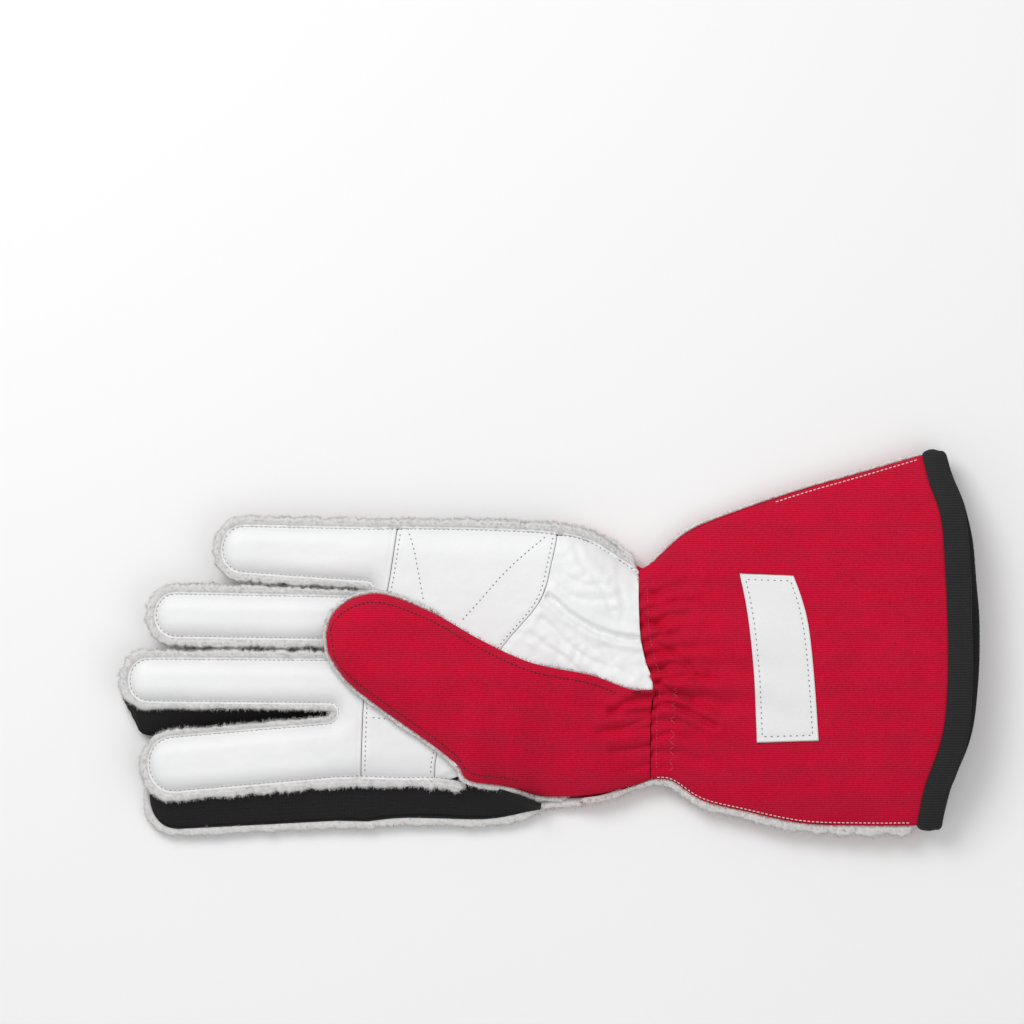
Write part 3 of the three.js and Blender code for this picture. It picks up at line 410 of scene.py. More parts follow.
# Extra rows of points just inside a cut edge, so that its groove shows
RIM_ROWS = [0.5, 1.0, 1.5, 2.1, 2.9]


def region_mesh(outline, height, wall, side, step=1.15, seed=3):
    """A closed sheet over a plan outline, lifted by height(points)."""
    outline = resample(np.vstack([outline, outline[:1]]), step)[:-1]
    low, high = outline.min(0), outline.max(0)
    rng = np.random.default_rng(seed)
    xs, ys = np.arange(low[0], high[0], step), np.arange(low[1], high[1], step * 0.87)
    gx, gy = np.meshgrid(xs, ys)
    gx = gx + (np.arange(len(ys)) % 2 * step / 2)[:, None]
    inside = np.stack([gx.ravel(), gy.ravel()], -1) + rng.uniform(-0.12, 0.12, (gx.size, 2)) * step
    closed = np.vstack([outline, outline[:1]])
    inside = inside[distance_to(inside, closed) > RIM_ROWS[-1] + step * 0.5]
    rows = [outline]
    way = plan_outward(closed, 1)[:-1]
    turn = np.einsum("ij,ij->", outline - outline.mean(0), way)
    for depth in RIM_ROWS:
        row = outline - way * math.copysign(depth, turn)
        near = distance_to(row, closed)
        rows.append(row[near > 0.93 * depth])
    points = np.vstack(rows + [inside])
    count = len(outline)
    loop = list(range(count))
    result = geometry.delaunay_2d_cdt(points.tolist(), [], [loop], 1, 1e-6)
    flat = np.array([tuple(v) for v in result[0]])
    faces = np.array([f for f in result[2] if len(f) == 3])
    z = height(flat)
    top = np.column_stack([flat, z])
    bottom = np.column_stack([flat, z - side * wall])
    n = len(flat)
    edges = np.vstack([faces[:, [0, 1]], faces[:, [1, 2]], faces[:, [2, 0]]])
    keys = edges[:, 0].astype(np.int64) * n + edges[:, 1]
    back = edges[:, 1].astype(np.int64) * n + edges[:, 0]
    border = edges[~np.isin(keys, back)]
    walls = np.vstack([np.column_stack([border[:, 1], border[:, 0], border[:, 0] + n]),
                       np.column_stack([border[:, 1], border[:, 0] + n, border[:, 1] + n])])
    vertices = np.vstack([top, bottom])
    faces = np.vstack([faces, faces[:, ::-1] + n, walls])
    return vertices, outward_faces(vertices, faces)


def joined(parts):
    vertices, faces, start = [], [], 0
    for v, f in parts:
        vertices.append(v)
        faces.extend((np.asarray(f) + start).tolist())
        start += len(v)
    return np.vstack(vertices), faces


# Stitches, fibres and raw edges, each set of them joined into one mesh

def capsules(points, runs, ups, length, radius, sides=6):
    """A small rounded rod at each point, along its run, half sunk in the cloth."""
    across = np.cross(ups, runs)
    rings = [(-0.5, 0.45), (-0.3, 1), (0.3, 1), (0.5, 0.45)]
    angle = np.arange(sides) * 2 * math.pi / sides
    vertices = []
    for at, wide in rings:
        arch = radius * 0.5 * (1 - (2 * at) ** 2)
        for a in angle:
            vertices.append(points + runs * (at * length) + across * (math.cos(a) * radius * wide)
                            + ups * (math.sin(a) * radius * wide * 0.7 + arch))
    count = len(rings) * sides
    vertices = np.stack(vertices, 1).reshape(-1, 3)
    faces = []
    for r in range(len(rings) - 1):
        for k in range(sides):
            a, b = r * sides + k, r * sides + (k + 1) % sides
            faces.append((a, b, b + sides))
            faces.append((a, b + sides, a + sides))
    for k in range(1, sides - 1):
        faces.append((0, k + 1, k))
        last = (len(rings) - 1) * sides
        faces.append((last, last + k, last + k + 1))
    faces = np.array(faces)
    starts = (np.arange(len(points)) * count)[:, None, None]
    return vertices, (faces[None] + starts).reshape(-1, 3)


def stitches(path, height, spacing=1.9, length=1.05, radius=0.22, lift=0.1):
    """Stitches along a plan path that lie on height(points)."""
    path = resample(np.asarray(path)[:, :2], spacing)
    mid = (path[1:] + path[:-1]) / 2
    z0, z1 = height(path[:-1]), height(path[1:])
    run = np.column_stack([path[1:] - path[:-1], z1 - z0])
    run /= np.linalg.norm(run, axis=1, keepdims=True)
    side = np.column_stack([-run[:, 1], run[:, 0], np.zeros(len(run))])
    side /= np.linalg.norm(side, axis=1, keepdims=True)
    up = np.cross(run, side)
    up *= np.sign(up[:, 2:])
    points = np.column_stack([mid, height(mid)]) + up * lift
    return capsules(points, run, up, length, radius)


def fibres(points, ways, length, radius, seed, spread=0.6):
    """Loose fibre ends: thin bent cones that stand out from points along ways."""
    rng = np.random.default_rng(seed)
    n = len(points)
    way = ways + rng.normal(0, spread, (n, 3))
    way /= np.linalg.norm(way, axis=1, keepdims=True)
    bend = rng.normal(0, 0.45, (n, 3))
    size = (length * rng.uniform(0.35, 1.0, n) ** 1.5)[:, None]
    side = np.cross(way, rng.normal(0, 1, (n, 3)))
    side /= np.maximum(np.linalg.norm(side, axis=1, keepdims=True), 1e-9)
    other = np.cross(way, side)
    mid = points + way * size * 0.55
    end = points + way * size + bend * size * 0.6
    corners = []
    for centre, r in ((points, radius), (mid, radius * 0.75)):
        for k in range(3):
            a = 2 * math.pi * k / 3
            corners.append(centre + (side * math.cos(a) + other * math.sin(a)) * r)
    vertices = np.stack(corners + [end], 1).reshape(-1, 3)
    faces = [(0, 2, 1)]
    for k in range(3):
        b = (k + 1) % 3
        faces += [(k, b, b + 3), (k, b + 3, k + 3), (k + 3, b + 3, 6)]
    faces = np.array(faces)
    return vertices, (faces[None] + (np.arange(n) * 7)[:, None, None]).reshape(-1, 3)


def raw_edge(path, side, top, width, thick=1.5, seed=5, fuzz=2.6, reach=1.0):
    """A raw fleece edge that stands out from a seam: a lumpy strip with loose fibres on it."""
    path = resample(path, 0.5)
    n = len(path)
    rng = np.random.default_rng(seed)
    way = plan_outward(path, side)
    along = np.arange(n) * 0.5
    wide = np.broadcast_to(width(path) if callable(width) else width, (n,))
    wide = wide * (1 + 0.16 * noise(along / 1.3, along * 0 + seed, seed)
                   + 0.12 * noise(along / 5, along * 0 + seed, seed + 1))
    ends = np.minimum(along, along[-1] - along)
    wide = wide * (0.15 + 0.85 * smoothstep(ends, 0, 3.5))
    z = top(path)
    section = [(-1.0, -0.1), (-0.25, -0.02), (0.06, 0.42), (0.45, 0.6), (0.8, 0.45), (1.0, 0.05),
               (0.85, -0.4), (0.5, -0.55), (0.1, -0.6), (-1.0, -0.7)]
    rows = []
    for k, (a, b) in enumerate(section):
        rough = 0.22 * noise(along / 0.9, along * 0 + k * 2.3, seed + 2) * thick
        offset = wide * a if a > 0 else a * np.minimum(wide, 1.2)
        rows.append(np.column_stack([path + way * offset[:, None],
                                     z + b * thick + rough * (0.3 if a < 0 else 1)]))
    grid = np.stack(rows, 1)
    k = len(section)
    vertices = grid.reshape(-1, 3)
    i, j = np.meshgrid(np.arange(n - 1), np.arange(k), indexing="ij")
    a, b = i * k + j, i * k + (j + 1) % k
    tube = np.vstack([np.stack([a, b, b + k], -1).reshape(-1, 3),
                      np.stack([a, b + k, a + k], -1).reshape(-1, 3)])
    caps = [(0, m + 1, m) for m in range(1, k - 1)]
    caps += [((n - 1) * k, (n - 1) * k + m, (n - 1) * k + m + 1) for m in range(1, k - 1)]
    faces = outward_faces(vertices, np.vstack([tube, np.array(caps)]))
    count = int(n * 0.5 * fuzz * 3)
    pick = rng.integers(0, n, count)
    place = rng.choice([2, 3, 4, 5, 5, 6], count)
    base = grid[pick, place] + rng.normal(0, 0.15, (count, 3))
    out = np.column_stack([way[pick] * np.where(place >= 4, 1.0, 0.35)[:, None],
                           np.where(place < 4, 0.8, 0.15)])
    hairs = fibres(base, out, reach * 1.5, 0.075, seed + 7)
    return joined([(vertices, faces), hairs])


# Finishes, most of them made from noise and waves

def finish_nodes(name, colour, roughness, sheen=0.0, coat=0.0, specular=0.4):
    material = bpy.data.materials.new(name)
    material.use_nodes = True
    nodes, links = material.node_tree.nodes, material.node_tree.links
    shader = nodes["Principled BSDF"]
    shader.inputs["Base Color"].default_value = (*colour, 1)
    shader.inputs["Roughness"].default_value = roughness
    shader.inputs["Sheen Weight"].default_value = sheen
    shader.inputs["Sheen Roughness"].default_value = 0.45
    shader.inputs["Coat Weight"].default_value = coat
    shader.inputs["Specular IOR Level"].default_value = specular
    where = nodes.new("ShaderNodeTexCoord")
    return material, nodes, links, shader, where


def texture(nodes, links, where, kind, scale, **values):
    node = nodes.new(kind)
    node.inputs["Scale"].default_value = scale
    for key, value in values.items():
        if key in node.inputs.keys():
            node.inputs[key].default_value = value
        else:
            setattr(node, key, value)
    links.new(where.outputs["Object"], node.inputs["Vector"])
    return node


def mixed(nodes, links, factor, low, high):
    ramp = nodes.new("ShaderNodeMix")
    ramp.data_type = "RGBA"
    ramp.inputs[6].default_value = (*low, 1)
    ramp.inputs[7].default_value = (*high, 1)
    links.new(factor, ramp.inputs[0])
    return ramp.outputs[2]


def maths(nodes, links, operation, a, b):
    node = nodes.new("ShaderNodeMath")
    node.operation = operation
    for slot, value in enumerate((a, b)):
        if isinstance(value, (int, float)):
            node.inputs[slot].default_value = value
        else:
            links.new(value, node.inputs[slot])
    return node.outputs[0]


def bumped(nodes, links, shader, height, depth, strength=1.0, after=None):
    node = nodes.new("ShaderNodeBump")
    node.inputs["Strength"].default_value = strength
    node.inputs["Distance"].default_value = depth
    links.new(height, node.inputs["Height"])
    if after is not None:
        links.new(after, node.inputs["Normal"])
    links.new(node.outputs["Normal"], shader.inputs["Normal"])
    return node.outputs["Normal"]


def leather_finish(name):
    material, nodes, links, shader, where = finish_nodes(name, (0.9, 0.9, 0.9), 0.5, specular=0.35)
    pores = texture(nodes, links, where, "ShaderNodeTexVoronoi", 1500, feature="DISTANCE_TO_EDGE")
    wrinkles = texture(nodes, links, where, "ShaderNodeTexNoise", 260, Detail=6.0, Roughness=0.62)
    broad = texture(nodes, links, where, "ShaderNodeTexNoise", 34, Detail=4.0, Roughness=0.55)
    tint = mixed(nodes, links, broad.outputs["Fac"], (0.80, 0.805, 0.815), (0.93, 0.93, 0.93))
    links.new(tint, shader.inputs["Base Color"])
    first = bumped(nodes, links, shader, wrinkles.outputs["Fac"], 0.00032, 0.55)
    bumped(nodes, links, shader, pores.outputs["Distance"], 0.00006, 0.45, first)
    rough = maths(nodes, links, "MULTIPLY_ADD", broad.outputs["Fac"], 0.25)
    rough.node.inputs[2].default_value = 0.36
    links.new(rough, shader.inputs["Roughness"])
    return material


def knit_finish(name, dark, light, rib=0.9, loop=0.8, along="Y", sheen=0.25, depth=0.00022):
    """Fine rib knit. Ribs follow one another along the given axis, rib millimetres apart."""
    material, nodes, links, shader, where = finish_nodes(name, light, 0.9, sheen=sheen, specular=0.12)
    shader.inputs["Sheen Tint"].default_value = (*[min(1, c * 2 + 0.12) for c in light], 1)
    other = {"Y": "X", "X": "Z", "Z": "X"}[along]
    ribs = texture(nodes, links, where, "ShaderNodeTexWave", 2 * math.pi / (20 * rib * MM),
                   bands_direction=along, Distortion=2.2, Detail=2.0)
    ribs.inputs["Detail Scale"].default_value = 0.45
    loops = texture(nodes, links, where, "ShaderNodeTexWave", 2 * math.pi / (20 * loop * MM),
                    bands_direction=other, Distortion=5.0, Detail=2.0)
    loops.inputs["Detail Scale"].default_value = 1.2
    fine = texture(nodes, links, where, "ShaderNodeTexNoise", 1100, Detail=4.0, Roughness=0.75)
    broad = texture(nodes, links, where, "ShaderNodeTexNoise", 60, Detail=3.0, Roughness=0.6)
    weave = maths(nodes, links, "MULTIPLY", ribs.outputs["Fac"],
                  maths(nodes, links, "ADD", maths(nodes, links, "MULTIPLY", loops.outputs["Fac"], 0.55), 0.45))
    grain = maths(nodes, links, "ADD", maths(nodes, links, "MULTIPLY", weave, 0.45),
                  maths(nodes, links, "MULTIPLY", fine.outputs["Fac"], 0.65))
    shade = maths(nodes, links, "ADD", maths(nodes, links, "MULTIPLY", grain, 0.85),
                  maths(nodes, links, "MULTIPLY", broad.outputs["Fac"], 0.15))
    tint = mixed(nodes, links, shade, dark, light)
    links.new(tint, shader.inputs["Base Color"])
    bumped(nodes, links, shader, grain, depth, 0.8)
    return material


def fleece_finish(name, dark, light, depth=0.0004):
    material, nodes, links, shader, where = finish_nodes(name, light, 0.95, sheen=0.3, specular=0.1)
    lumps = texture(nodes, links, where, "ShaderNodeTexNoise", 900, Detail=6.0, Roughness=0.75)
    tint = mixed(nodes, links, lumps.outputs["Fac"], dark, light)
    links.new(tint, shader.inputs["Base Color"])
    bumped(nodes, links, shader, lumps.outputs["Fac"], depth, 0.9)
    return material


LEATHER_FINISH = leather_finish("white_leather")
RED_FINISH = knit_finish("crimson_knit", (0.12, 0.0002, 0.004), (0.95, 0.01, 0.062))
RED_FIBRE = fleece_finish("crimson_fibre", (0.34, 0.002, 0.016), (0.74, 0.012, 0.06), 0.0001)
BLACK_FINISH = knit_finish("black_knit", (0.006, 0.0055, 0.0058), (0.035, 0.033, 0.034), rib=0.6, along="X",
                           sheen=0.12, depth=0.00012)
BACK_BLACK_FINISH = knit_finish("black_knit_panel", (0.006, 0.0055, 0.0058), (0.04, 0.037, 0.038), rib=0.7)
BINDING_FINISH = knit_finish("binding_knit", (0.008, 0.0078, 0.008), (0.045, 0.043, 0.044), rib=1.1, loop=0.7,
                             sheen=0.15)
LINING_FINISH = fleece_finish("white_lining", (0.52, 0.51, 0.5), (0.93, 0.925, 0.915))
LABEL_FINISH = knit_finish("label_weave", (0.74, 0.74, 0.745), (0.93, 0.93, 0.93), rib=0.32, loop=0.3,
                           sheen=0.0, depth=0.00005)
# Dark grey stitches: partly the thread's own grey, partly painted shade of the stitch holes
STITCH_GREY_AND_HOLE_SHADE = fleece_finish("grey_thread_and_hole_shade", (0.10, 0.10, 0.10), (0.24, 0.24, 0.24), 0.0001)
THREAD_WHITE = fleece_finish("white_thread", (0.6, 0.6, 0.6), (0.9, 0.9, 0.9), 0.0001)
THREAD_DARK = fleece_finish("dark_thread", (0.02, 0.004, 0.006), (0.09, 0.01, 0.018), 0.0001)
THREAD_RED = fleece_finish("red_thread", (0.45, 0.005, 0.03), (0.85, 0.06, 0.12), 0.0001)
STRIP_FINISH = finish_nodes("gloss_strip", (0.012, 0.012, 0.013), 0.07, coat=1.0, specular=0.5)[0]
BADGE_FINISH = finish_nodes("badge_coral", (0.78, 0.13, 0.09), 0.35, coat=0.3)[0]
BORDER_FINISH = finish_nodes("badge_border", (0.85, 0.85, 0.84), 0.4)[0]


# The palm's leather

PALM_OUTER_TAIL = [(0.012, 0.34), (0.052, 0.384), (0.102, 0.435), (0.167, 0.461), (0.3, 0.474), (0.47, 0.479)]
PALM_THUMB_TAIL = [(0.54, -0.315), (0.47, -0.319), (0.4, -0.32), (0.36, -0.33), (0.335, -0.345)]
BACK_OUTER_TAIL = [(0, 0.345), (0.04, 0.385), (0.08, 0.43), (0.14, 0.47), (0.182, 0.482), (0.3, 0.488),
                   (0.42, 0.49), (0.47, 0.486)]
BACK_THUMB_TAIL = [(0.53, -0.452), (0.47, -0.441), (0.4, -0.442), (0.3, -0.444), (0.224, -0.42),
                   (0.192, -0.396), (0.1, -0.384)]

palm_path = seam_path("palm", PALM_CROTCHES, PALM_OUTER_TAIL, PALM_THUMB_TAIL)
back_path = seam_path("back", BACK_CROTCHES, BACK_OUTER_TAIL, BACK_THUMB_TAIL)

knuckle_line = Line(KNUCKLE_SEAM)(np.linspace(0, 1, 160))
curved_line = Line(CURVED_SEAM)(np.linspace(0, 1, 240))
fold_line = Line(THUMB_FOLD)(np.linspace(0, 1, 200))
heel_end_line = Line(HEEL_END)(np.linspace(0, 1, 120))


def pixels(points):
    return np.array([((px - PIXEL_ORIGIN[0]) * PIXEL, (PIXEL_ORIGIN[1] - py) * PIXEL) for px, py in points])


# Heel creases: (line, depth, width of the valley, height of the roll beside it)
CREASES = [
    (pixels([(548, 596), (556, 602), (566, 612), (580, 621), (596, 630), (620, 637), (640, 639)]), 2.3, 1.1, 1.1),
    (pixels([(553, 560), (560, 572), (570, 580), (584, 585), (600, 584)]), 0.5, 0.9, 0.35),
    (pixels([(575, 545), (580, 560), (590, 572), (604, 590), (612, 610)]), 0.45, 1.0, 0.35),
    (pixels([(541, 618), (556, 632), (572, 648), (590, 660), (612, 668)]), 0.7, 1.1, 0.4),
    (pixels([(528, 632), (545, 645), (562, 655), (575, 668)]), 0.5, 0.9, 0.3),
    (pixels([(578, 628), (579, 645), (572, 662)]), 0.5, 0.9, 0.25),
    (pixels([(600, 640), (606, 655), (618, 668), (632, 676)]), 0.5, 1.0, 0.3),
    (pixels([(560, 590), (570, 596), (590, 600), (612, 598)]), 0.4, 1.1, 0.3),
    (pixels([(620, 560), (618, 580), (622, 600)]), 0.4, 1.2, 0.3),
]


def leather_height(points, seams=()):
    x, y = points[:, 0], points[:, 1]
    along = share_along(x)
    edge = distance_to(points, palm_path)
    crown = (lerp(WRIST_CROWN, PALM_CROWN, closing(x))
             * lerp(1.0, FINGER_CROWN / PALM_CROWN, smoothstep(along, 0.5, 0.7)))
    reach = lerp(14.0, 7.4, smoothstep(along, 0.44, 0.62)) + 8 * (1 - closing(x))
    t = np.clip((edge - 1.2) / reach, 0, 1)
    z = palm_seam(x) + crown * (1 - (1 - t) ** 2.3) ** 0.85
    z -= 0.4 * bump(edge - 1.25, 0.55)
    for seam in seams:
        near = distance_to(points, seam)
        z -= 0.6 * bump(near, 0.5) + 0.25 * bump(near - 1.55, 0.55)
    z += 0.16 * layered(x / 13, y / 8, 11) * t
    z += 0.07 * layered(x / 3.1 + y / 9, y / 2.6 - x / 14, 21) * np.minimum(1, edge / 3)
    return z


def heel_height(points, seams=()):
    z = leather_height(points, seams)
    x, y = points[:, 0], points[:, 1]
    edge = np.minimum(distance_to(points, palm_path), 3) / 3
    for line, depth, width, roll in CREASES:
        line = resample(line, 1.0)
        near = distance_to(points, line)
        z += edge * (-depth * bump(near, width) + roll * bump(near - 2.6 * width, 1.7 * width))
    ridge = 1 - np.abs(layered(x / 8 + y / 17, y / 6.5 - x / 19, 31))
    z -= 0.8 * edge * np.maximum(0, ridge - 0.55)
    z += 0.24 * edge * layered(x / 4, y / 3.4, 41)
    rim = Line(THUMB_INNER_EDGE[:4])(np.linspace(0, 1, 200))
    below = np.interp(-x, -rim[:, 0], rim[:, 1]) - y
    return z - 4.0 * smoothstep(below, -0.3, 3.2) * smoothstep(x, rim[-1, 0], rim[-1, 0] + 9)


def nearest_index(path, point, outer):
    top = int(np.argmin(path[:, 0]))
    part = path[:top] if outer else path[top:]
    return int(np.argmin(((part - point) ** 2).sum(1))) + (0 if outer else top)


def cut(line, space=0.15):
    """A seam's line set back a little towards the fingers or the wrist."""
    return line + np.array([space, 0])


k_outer = nearest_index(palm_path, hand(KNUCKLE_SEAM[0]), True)
k_thumb = nearest_index(palm_path, hand(KNUCKLE_SEAM[-1]), False)
c_outer = nearest_index(palm_path, hand(CURVED_SEAM[0]), True)
c_thumb = nearest_index(palm_path, hand(CURVED_SEAM[-1]), False)

finger_outline = np.vstack([palm_path[k_outer:k_thumb + 1], cut(knuckle_line, -0.2)[::-1]])
patch_outline = np.vstack([cut(knuckle_line, 0.05), palm_path[k_thumb:c_thumb + 1],
                           cut(curved_line, -0.1)[::-1], palm_path[c_outer:k_outer + 1]])
heel_outline = np.vstack([cut(curved_line, 0.1), fold_line[4:], heel_end_line[::-1][4:],
                          palm_path[:c_outer + 1]])


def leather_piece(name, outline, height, seams, node):
    vertices, faces = region_mesh(outline, lambda p: height(p, seams), LEATHER, 1)
    return make_object(name, vertices, faces, LEATHER_FINISH, [node])


leather_piece("leather_fingers", finger_outline, leather_height, [knuckle_line], "finger_palm")
leather_piece("leather_patch", patch_outline, leather_height, [knuckle_line, curved_line], "palm_patch")
leather_piece("leather_heel", heel_outline, heel_height, [curved_line], "palm_heel")


# Side walls of black knit, from the tip of one finger to the tip of the next

def wall_piece(name, path_top, path_low, node, rows=9):
    """A knit ribbon between the palm seam and the back seam, along two paths of the same length."""
    top = np.column_stack([path_top, palm_seam(path_top[:, 0]) - 0.3])
    low = np.column_stack([path_low, back_seam(path_low[:, 0]) + 1.0])
    way = np.column_stack([plan_outward(path_top, 1), np.zeros(len(path_top))])
    front, rear = [], []
    for k, t in enumerate(np.linspace(0, 1, rows)):
        line = lerp(top, low, t)
        hollow = -0.35 * t + 0.2 * noise(line[:, 0] / 7, line[:, 2] / 5, 61)
        front.append(line - way * np.reshape(hollow, (-1, 1)) * 0.8)
        rear.append(line - way * (np.reshape(hollow, (-1, 1)) * 0.8 + SIDE_KNIT))
    vertices, faces = ribbon_mesh(np.stack(front, 1), np.stack(rear, 1))
    return make_object(name, vertices, faces, BLACK_FINISH, [node])


def finger_side(finger, side, u, crotch, count=60):
    tip, _, root, _ = FINGERS[finger][side]
    s0 = (root[0] - crotch) / (root[0] - tip[0])
    s = lerp(s0, 1, 1 - (1 - np.linspace(0, 1, count)) ** 1.9)
    return finger_point(finger, side, s, np.full(count, u))


def fourchette(name, first, second, k, node, web=None):
    paths = []
    for side, crotches in (("palm", PALM_CROTCHES), ("back", BACK_CROTCHES)):
        one = finger_side(first, side, 1, crotches[k])[::-1]
        if side == "back" and web:
            one = Line(web, np.array)(np.linspace(0, 1, len(one)))
        two = finger_side(second, side, -1, crotches[k])
        paths.append(np.vstack([one, crotch_arc(one[-1], two[0]), two]))
    wall_piece(name, *even_pair(*paths), node)


def even_pair(top, low):
    """Both paths again with points at even distances along the first."""
    gaps = np.linalg.norm(np.diff(top, axis=0), axis=1)
    total = np.concatenate([[0], np.cumsum(gaps)])
    t = np.linspace(0, total[-1], int(total[-1] / 0.9))
    return [np.stack([np.interp(t, total, p[:, k]) for k in (0, 1)], -1) for p in (top, low)]


fourchette("wall_little_ring", "little", "ring", 0, "fourchette_little_ring")
fourchette("wall_ring_middle", "ring", "middle", 1, "fourchette_ring_middle")

# The web between the middle and first fingers spreads towards their tips
WEB = pixels([(124, 698), (130, 710), (137, 722), (141, 731), (150, 735), (165, 735), (180, 733), (200, 730),
              (240, 725), (270, 722), (300, 720), (336, 717)]).tolist()
fourchette("wall_middle_index", "middle", "index", 2, "fourchette_middle_index", WEB)


def outer_wall(name, finger, u, tails, node):
    paths = []
    for side, tail in zip(("palm", "back"), tails):
        path = finger_side(finger, side, u, tail[0][0] + 0.03)[::-1]
        paths.append(np.vstack([path, Line(tail)(np.linspace(0, 1, 60))]))
    top, low = even_pair(*paths)
    if u < 0:
        top, low = top[::-1], low[::-1]
    wall_piece(name, top, low, node)


outer_wall("wall_little_side", "little", -1,
           [[(0.46, 0.475), (0.4, 0.471), (0.3, 0.464), (0.2, 0.458), (0.15, 0.45), (0.11, 0.432)],
            [(0.46, 0.483), (0.4, 0.484), (0.3, 0.483), (0.2, 0.481), (0.15, 0.47), (0.11, 0.448)]],
           "little_sidewall")
outer_wall("wall_index_side", "index", 1,
           [[(0.54, -0.316), (0.47, -0.319), (0.4, -0.32), (0.36, -0.322), (0.3, -0.345), (0.24, -0.375),
             (0.2, -0.4)],
            [(0.54, -0.452), (0.47, -0.438), (0.4, -0.437), (0.36, -0.441), (0.3, -0.441), (0.24, -0.426),
             (0.2, -0.414)]],
           "index_sidewall")


# The back of the hand: red fingers, black panel with the first finger

def back_height(points, seams=()):
    x, y = points[:, 0], points[:, 1]
    edge = distance_to(points, back_path)
    t = np.clip((edge - 0.8) / 6.5, 0, 1)
    z = back_seam(x) * (1 - (1 - (1 - t) ** 2.2) ** 0.8)
    z += 0.35 * bump(edge - 2.6, 0.5) * (1 - t)
    for seam in seams:
        z += 0.5 * bump(distance_to(points, seam), 0.7)
    return np.maximum(z + 0.1 * np.maximum(0, layered(x / 9, y / 7, 71)), 0.02)


b_outer = nearest_index(back_path, hand(BACK_TOP_SEAM[0]), True)
top_seam_line = Line(BACK_TOP_SEAM)(np.linspace(0, 1, 160))
low_seam_line = Line(BACK_LOW_SEAM)(np.linspace(0, 1, 160))
crotch_side = np.abs(back_path[:, 0] - hand((0.588, 0))[0]) + np.abs(back_path[:, 1] - hand((0, -0.2))[1])
b_crotch = int(np.argmin(crotch_side))
l_outer = nearest_index(back_path, hand(BACK_LOW_SEAM[0]), True)
l_thumb = nearest_index(back_path, hand(BACK_LOW_SEAM[-1]), False)

vertices, faces = region_mesh(np.vstack([back_path[b_outer:b_crotch + 1], cut(top_seam_line, -0.2)[::-1]]),
                              lambda p: back_height(p, [top_seam_line]), KNIT, -1, 1.3)
make_object("back_fingers_knit", vertices, faces, RED_FINISH, ["back_fingers"])
vertices, faces = region_mesh(np.vstack([cut(top_seam_line, 0.1), back_path[b_crotch + 1:l_thumb + 1],
                                         cut(low_seam_line, -0.2)[::-1], back_path[l_outer:b_outer + 1]]),
                              lambda p: back_height(p, [top_seam_line, low_seam_line]), KNIT, -1, 1.3)
make_object("back_panel_knit", vertices, faces, BACK_BLACK_FINISH, ["back_panel"])


# The cuff's two halves, gathered at the wrist

mouth_line = Line(MOUTH_LINE, cuff)
cuff_outer_side = Line(CUFF_OUTER_SIDE, cuff)
cuff_thumb_side = Line(CUFF_THUMB_SIDE, cuff)
wrist_line = Line(WRIST_SEAM)
cuff_patch = patch(Moved(wrist_line, 0.1), mouth_line, cuff_outer_side, cuff_thumb_side)

# Gathers across the wrist: (share across, depth, width in shares, reach along the cuff, lean)
GATHERS = [
    (0.07, 1.3, 0.014, 0.16, 0.05), (0.13, 2.0, 0.018, 0.26, 0.10), (0.2, 1.5, 0.014, 0.20, 0.06),
    (0.265, 2.3, 0.018, 0.30, 0.05), (0.34, 1.6, 0.015, 0.24, 0.03), (0.41, 1.9, 0.016, 0.22, 0.02),
    (0.475, 2.4, 0.017, 0.30, 0.04), (0.54, 1.5, 0.013, 0.20, 0.0), (0.6, 2.9, 0.018, 0.36, 0.06),
    (0.655, 1.8, 0.014, 0.22, 0.03), (0.73, 1.3, 0.016, 0.18, 0.0), (0.8, 1.1, 0.014, 0.22, -0.03),
    (0.88, 1.4, 0.016, 0.24, -0.04), (0.95, 0.8, 0.012, 0.16, -0.02),
]


def gathers(u, v):
    total = 0
    for place, depth, width, reach, lean in GATHERS:
        centre = place + lean * v / max(reach, 0.05) * 0.8 + 0.006 * np.sin(v * 60 + place * 40)
        spread = width * (1 + 4 * v)
        fade = np.exp(-((v / (1.15 * reach)) ** 2))
        total = total - 1.35 * depth * fade * np.exp(-(((u - centre) / spread) ** 2))
        total = total + 0.5 * depth * fade * np.exp(-(((u - centre - 2.1 * spread) / (1.5 * spread)) ** 2))
    return total


# Sharper creases that fan out from the wrist: (line, depth, width)
CUFF_CREASES = [
    (pixels([(657, 681), (664, 686), (676, 692), (690, 697)]), 1.7, 1.0),
    (pixels([(660, 700), (676, 706), (692, 713), (714, 724)]), 2.0, 1.1),
    (pixels([(655, 643), (668, 649), (681, 657), (695, 674)]), 1.3, 1.2),
    (pixels([(643, 617), (652, 622), (662, 627)]), 1.3, 0.9),
    (pixels([(645, 590), (656, 596), (672, 602), (690, 601)]), 0.9, 1.3),
    (pixels([(660, 668), (672, 672), (690, 676), (712, 678)]), 1.0, 1.4),
]
THUMB_CREASES = [
    (pixels([(649, 694), (638, 696), (626, 701), (610, 711)]), 1.5, 1.2),
    (pixels([(648, 716), (636, 722), (622, 727), (600, 731)]), 1.1, 1.4),
    (pixels([(648, 744), (634, 748), (612, 750)]), 0.9, 1.4),
]


def creased(p, creases):
    """How far each place of a sheet is lowered or lifted by its creases."""
    flat = p.reshape(-1, 2)
    total = np.zeros(len(flat))
    for line, depth, width in creases:
        line = resample(line, 1.0)
        near = distance_to(flat, line)
        total += -depth * bump(near, width) + 0.45 * depth * bump(near - 2.6 * width, 1.6 * width)
    return total.reshape(p.shape[:-1])


